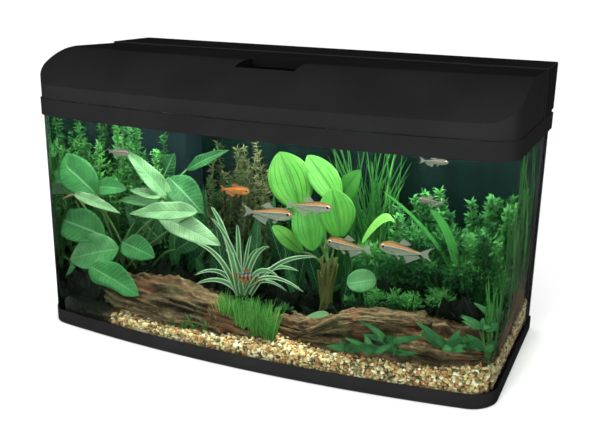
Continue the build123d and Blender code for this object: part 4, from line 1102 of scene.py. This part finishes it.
# Centre and radius of each cushion of moss, in millimetres.
MOSS = (
    (162, -40, 172, 26), (212, -44, 160, 30), (262, -44, 164, 30), (312, -40, 166, 30), (346, -40, 168, 28),
    (186, -70, 112, 18), (222, -74, 112, 22), (250, -76, 118, 18), (292, -60, 122, 24), (150, -84, 104, 12),
    (236, -30, 200, 30), (290, -30, 204, 32), (340, -20, 206, 30), (380, -60, 96, 18), (366, -30, 150, 26),
)
# Root, tone and longest leaf of each rosette, in millimetres.
ROSETTES = (
    (236, -154, 86, 0.30, 60), (216, -156, 66, 0.30, 46), (346, -112, 82, 0.30, 44),
    (366, -100, 112, 0.50, 44), (318, -134, 84, 0.35, 56), (176, -160, 62, 0.25, 40),
    (-96, -118, 52, 0.30, 44), (-240, -112, 44, 0.25, 44), (-130, -122, 46, 0.30, 44),
    (30, -70, 62, 0.30, 44), (-10, -88, 66, 0.25, 44), (250, -152, 70, 0.25, 50),
    (376, -60, 112, 0.55, 40), (378, -10, 128, 0.55, 40), (374, -100, 78, 0.45, 34),
)


def moss_cushions():
    """Cushions of moss on and over the wood."""
    moss = Bunch()
    rng = np.random.default_rng(8)
    for x, y, z, size in MOSS:
        total = size * 16
        way = unit(rng.normal(0, 1, (total, 3)) * (1, 0.8, 0.75) + (0, -0.3, 0.25))
        starts = vec(x, y, z) + way * size * MM * rng.uniform(0.15, 0.85, (total, 1))
        ends = starts + way * size * 0.30 * MM + rng.uniform(-1, 1, (total, 3)) * vec(4, 4, 6)
        # Each cushion gets its own tone; needles pointing up are painted lighter, a painted highlight on the
        # cushions' tops.
        tones = rng.choice((0.15, 0.35, 0.7)) + 0.5 * way[:, 2] + rng.uniform(-0.2, 0.4, total)
        widths = rng.uniform(1.8, 3.8, total) * MM
        arches = rng.uniform(0, 0.3, total)
        needles(moss, starts, ends, widths, tones, arches, way + rng.normal(0, 0.4, (total, 3)))
    planted("moss_cushions", moss, "fern")


def rosettes():
    """Small lance leaves in front of the wood, and two loose leaves over it."""
    low = Bunch()
    for x, y, z, tone, longest in ROSETTES:
        for _ in range(11):
            angle = dice.uniform(0, 6.3)
            reach = dice.uniform(22, longest)
            base = vec(x + dice.uniform(-4, 4), y + dice.uniform(-3, 3), z - 6)
            rise = reach * dice.uniform(0.1, 0.7)
            tip = base + vec(reach * math.cos(angle), 0.3 * reach * math.sin(angle) - 6, rise)
            leaf(low, base, tip, dice.uniform(7, 12) * MM, tone + dice.uniform(-0.15, 0.3), arch=0.22,
                 fold=0.3, rows=9, across=4)
    leaf(low, vec(184, -60, 140), vec(142, -84, 134), 38 * MM, 0.62, "round", 0.1, fold=0.1,
         rows=16, across=8)
    leaf(low, vec(120, -100, 84), vec(84, -110, 76), 12 * MM, 0.9, arch=0.1)
    planted("low_leaves", low, "broad", 0.4 * MM)


# ---------------------------------------------------------------- fish
EYE_R = 0.036                           # a share of the fish's length, as all its sizes are


def fish(name, centre, length, heading, coat, deep):
    """Body, fins and eyes of a fish; heading is +1 or -1 along X, deep its height to its length."""
    length *= MM
    rows, sides = 26, 20
    v = np.linspace(0, 1, rows)
    tall = deep * length / 2 * (np.sin(np.pi * v ** 0.66) ** 0.95 * (1 - 0.42 * v) + 0.10 * v + 0.05)
    tall[0] *= 0.4
    angles = np.linspace(0, 2 * np.pi, sides, endpoint=False)
    body = np.empty((rows, sides, 3))
    body[..., 0] = length * (0.40 - 0.78 * v)[:, None]
    body[..., 1] = 0.46 * tall[:, None] * np.cos(angles)
    body[..., 2] = tall[:, None] * np.sin(angles)

    def placed(points):
        """Points of the fish, bent as it swims, turned and moved to its centre."""
        swim = np.array(points, float)
        swim[..., 1] += 0.05 * length * np.sin(swim[..., 0] / length * 4)
        swim[..., 0] *= heading
        return swim + vec(*centre)

    skin, fins, eyes = Bunch(), Bunch(), Bunch()
    skin.grid(placed(body), guide_grid(np.sin(angles), v), wrap=True)

    def fin(root_a, root_b, tip_a, tip_b, hollow=0.0):
        """A fin between its root line and its tip line; hollow forks the far edge."""
        s, r = np.linspace(0, 1, 9), np.linspace(0, 1, 7)
        root = np.outer(1 - s, root_a) + np.outer(s, root_b)
        edge = np.outer(1 - s, tip_a) + np.outer(s, tip_b)
        edge[:, 0] += hollow * 4 * s * (1 - s)
        sheet = root * (1 - r)[:, None, None] + edge * r[:, None, None]
        fins.grid(placed(sheet * length), guide_grid(2 * s - 1, r))

    h = deep / 2
    fin((-0.37, 0, 0.035), (-0.37, 0, -0.035), (-0.60, 0, 0.14), (-0.58, 0, -0.13), 0.10)
    fin((0.04, 0, h * 0.84), (-0.10, 0, h * 0.70), (-0.05, 0, h + 0.08), (-0.20, 0, h))
    fin((-0.06, 0, -h * 0.72), (-0.33, 0, -0.04), (-0.12, 0, -h - 0.09), (-0.36, 0, -0.08))
    fin((0.12, 0.01, -h * 0.85), (0.06, 0.01, -h * 0.85), (0.04, 0.03, -h - 0.08), (0.0, 0.03, -h - 0.04))
    ball = bmesh.new()
    bmesh.ops.create_uvsphere(ball, u_segments=14, v_segments=10, radius=1)
    globe = np.array([p.co[:] for p in ball.verts])
    faces = [tuple(p.index for p in f.verts) for f in ball.faces]
    ball.free()
    for side in (-1, 1):
        fin((0.19, side * 0.05, -0.03), (0.18, side * 0.05, -0.06),
            (0.09, side * 0.09, -0.05), (0.10, side * 0.08, -0.10))
        spots = globe * [EYE_R, 0.6 * EYE_R, EYE_R] + [0.315, side * 0.034, 0.014]
        outward = np.stack([globe[:, 1] * side] * 3, 1)
        eyes.add(placed(spots * length), faces, outward)
    skin.piece(name + "_body", COATS[coat], "fish")
    fins.piece(name + "_fins", COATS[coat + "_fin"], "fish")
    eyes.piece(name + "_eyes", COATS["eye"], "fish")


def scale_coat(name, back, side, belly, stripe, bars):
    """Fish skin: dark back, coloured side stripe, silvery belly, small scales, optional bars."""
    mat, tree, bsdf = new_material(name, side, 0.3, metal=0.25, shine=0.6)
    height, along, _ = guide_values(tree)
    dusk = [c * 0.55 for c in side]
    shade = ramp(tree, calc(tree, "MULTIPLY_ADD", height, 0.5, 0.5), (
        (0.08, belly), (0.40, side), (0.60, dusk), (0.67, belly),
        (0.73, stripe), (0.84, stripe), (0.93, back)))
    if bars:
        wave = calc(tree, "SINE", times(tree, along, bars))
        shade = blend(tree, smooth(tree, wave, 0.1, 0.5), shade, (0.01, 0.015, 0.03))
    scales = put(tree, "ShaderNodeTexVoronoi", {"Vector": place_of(tree), "Scale": 700.0}).outputs[0]
    shade = blend(tree, times(tree, scales, 0.6), shade, (0.1, 0.1, 0.08), "MULTIPLY")
    paint(tree, bsdf, shade)
    bump(tree, bsdf, scales, 0.3 * MM, 0.5)
    return mat


def fin_coat(name, colour):
    """Thin rayed fin, partly clear."""
    mat, tree, bsdf = new_material(name, colour, 0.4)
    rays = calc(tree, "SINE", times(tree, guide_values(tree)[0], 40.0))
    shade = blend(tree, smooth(tree, rays, -0.4, 0.8), colour, [c * 0.45 for c in colour])
    paint(tree, bsdf, shade)
    clear = put(tree, "ShaderNodeBsdfTransparent", {"Color": (0.9, 0.95, 0.9, 1)})
    surface(tree, 0.7, clear, bsdf)
    return mat


def eye_coat():
    """Pale ring round a black pupil."""
    mat, tree, bsdf = new_material("fish_eye", (0.6, 0.6, 0.5), 0.1, shine=0.8)
    pupil = smooth(tree, guide_values(tree)[0], 0.60, 0.68)
    paint(tree, bsdf, blend(tree, pupil, (0.36, 0.34, 0.26), (0.004, 0.004, 0.004)))
    return mat


# Back, side, belly, stripe, then the fins' colour and the bars.
SKINS = {
    "tetra": ((0.10, 0.07, 0.04), (0.22, 0.25, 0.20), (0.42, 0.44, 0.38), (0.44, 0.17, 0.04),
              (0.26, 0.28, 0.23), 0),
    "orange": ((0.16, 0.07, 0.02), (0.52, 0.15, 0.02), (0.60, 0.28, 0.06), (0.58, 0.14, 0.01),
               (0.45, 0.12, 0.03), 0),
    "barred": ((0.08, 0.12, 0.16), (0.50, 0.22, 0.05), (0.50, 0.30, 0.10), (0.20, 0.26, 0.30),
               (0.38, 0.15, 0.04), 48),
    "small": ((0.05, 0.05, 0.035), (0.18, 0.15, 0.11), (0.30, 0.28, 0.24), (0.14, 0.13, 0.12),
              (0.18, 0.18, 0.16), 0),
}
COATS = {"eye": eye_coat()}
for kind, (back, side, belly, stripe, fins, bars) in SKINS.items():
    COATS[kind] = scale_coat(kind + "_skin", back, side, belly, stripe, bars)
    COATS[kind + "_fin"] = fin_coat(kind + "_fin", fins)


def make_fish():
    """The shoal: place, length, heading, coat and height to length."""
    shoal = (
        ((-65, -64, 257), 56, 1, "orange", 0.27), ((0, -66, 226), 92, 1, "tetra", 0.25),
        ((72, -66, 247), 84, 1, "tetra", 0.23), ((131, -66, 191), 86, -1, "tetra", 0.25),
        ((223, -66, 197), 92, -1, "tetra", 0.25), ((-37, -72, 112), 70, 1, "barred", 0.26),
        ((-294, -66, 298), 44, 1, "small", 0.30), ((269, -60, 340), 46, 1, "small", 0.20),
        ((262, -60, 279), 44, -1, "small", 0.24),
    )
    for number, one in enumerate(shoal, 1):
        fish(f"fish_{number}", *one)


# ---------------------------------------------------------------- water
def make_water():
    """The surface of the water, gently rippled."""
    gap = GLASS_T + 0.5 * MM
    x = np.linspace(gap - HALF, HALF - gap, 81)
    share = np.linspace(0, 1, 41)[:, None]
    y = front_y(x, gap) * (1 - share) + (BACK_Y + 3 * MM) * share
    z = WATER_Z + 0.7 * MM * np.sin(x * 70 + y * 40) * np.cos(y * 90 - x * 25)
    grid = np.stack(np.broadcast_arrays(x, y, z), -1)
    bunch = Bunch()
    bunch.grid(grid, np.zeros_like(grid))
    bunch.piece("water_surface", glass("still_water", (0.93, 0.98, 0.96), 0.12), "water")


make_camera()
make_studio()
make_floor()
dress_frame()
make_ground()
broad_plant()
sword_plant()
spider_plant()
small_grasses()
ribbon_plants()
stem_plants()
filler_plants()
moss_cushions()
rosettes()
make_fish()
make_water()
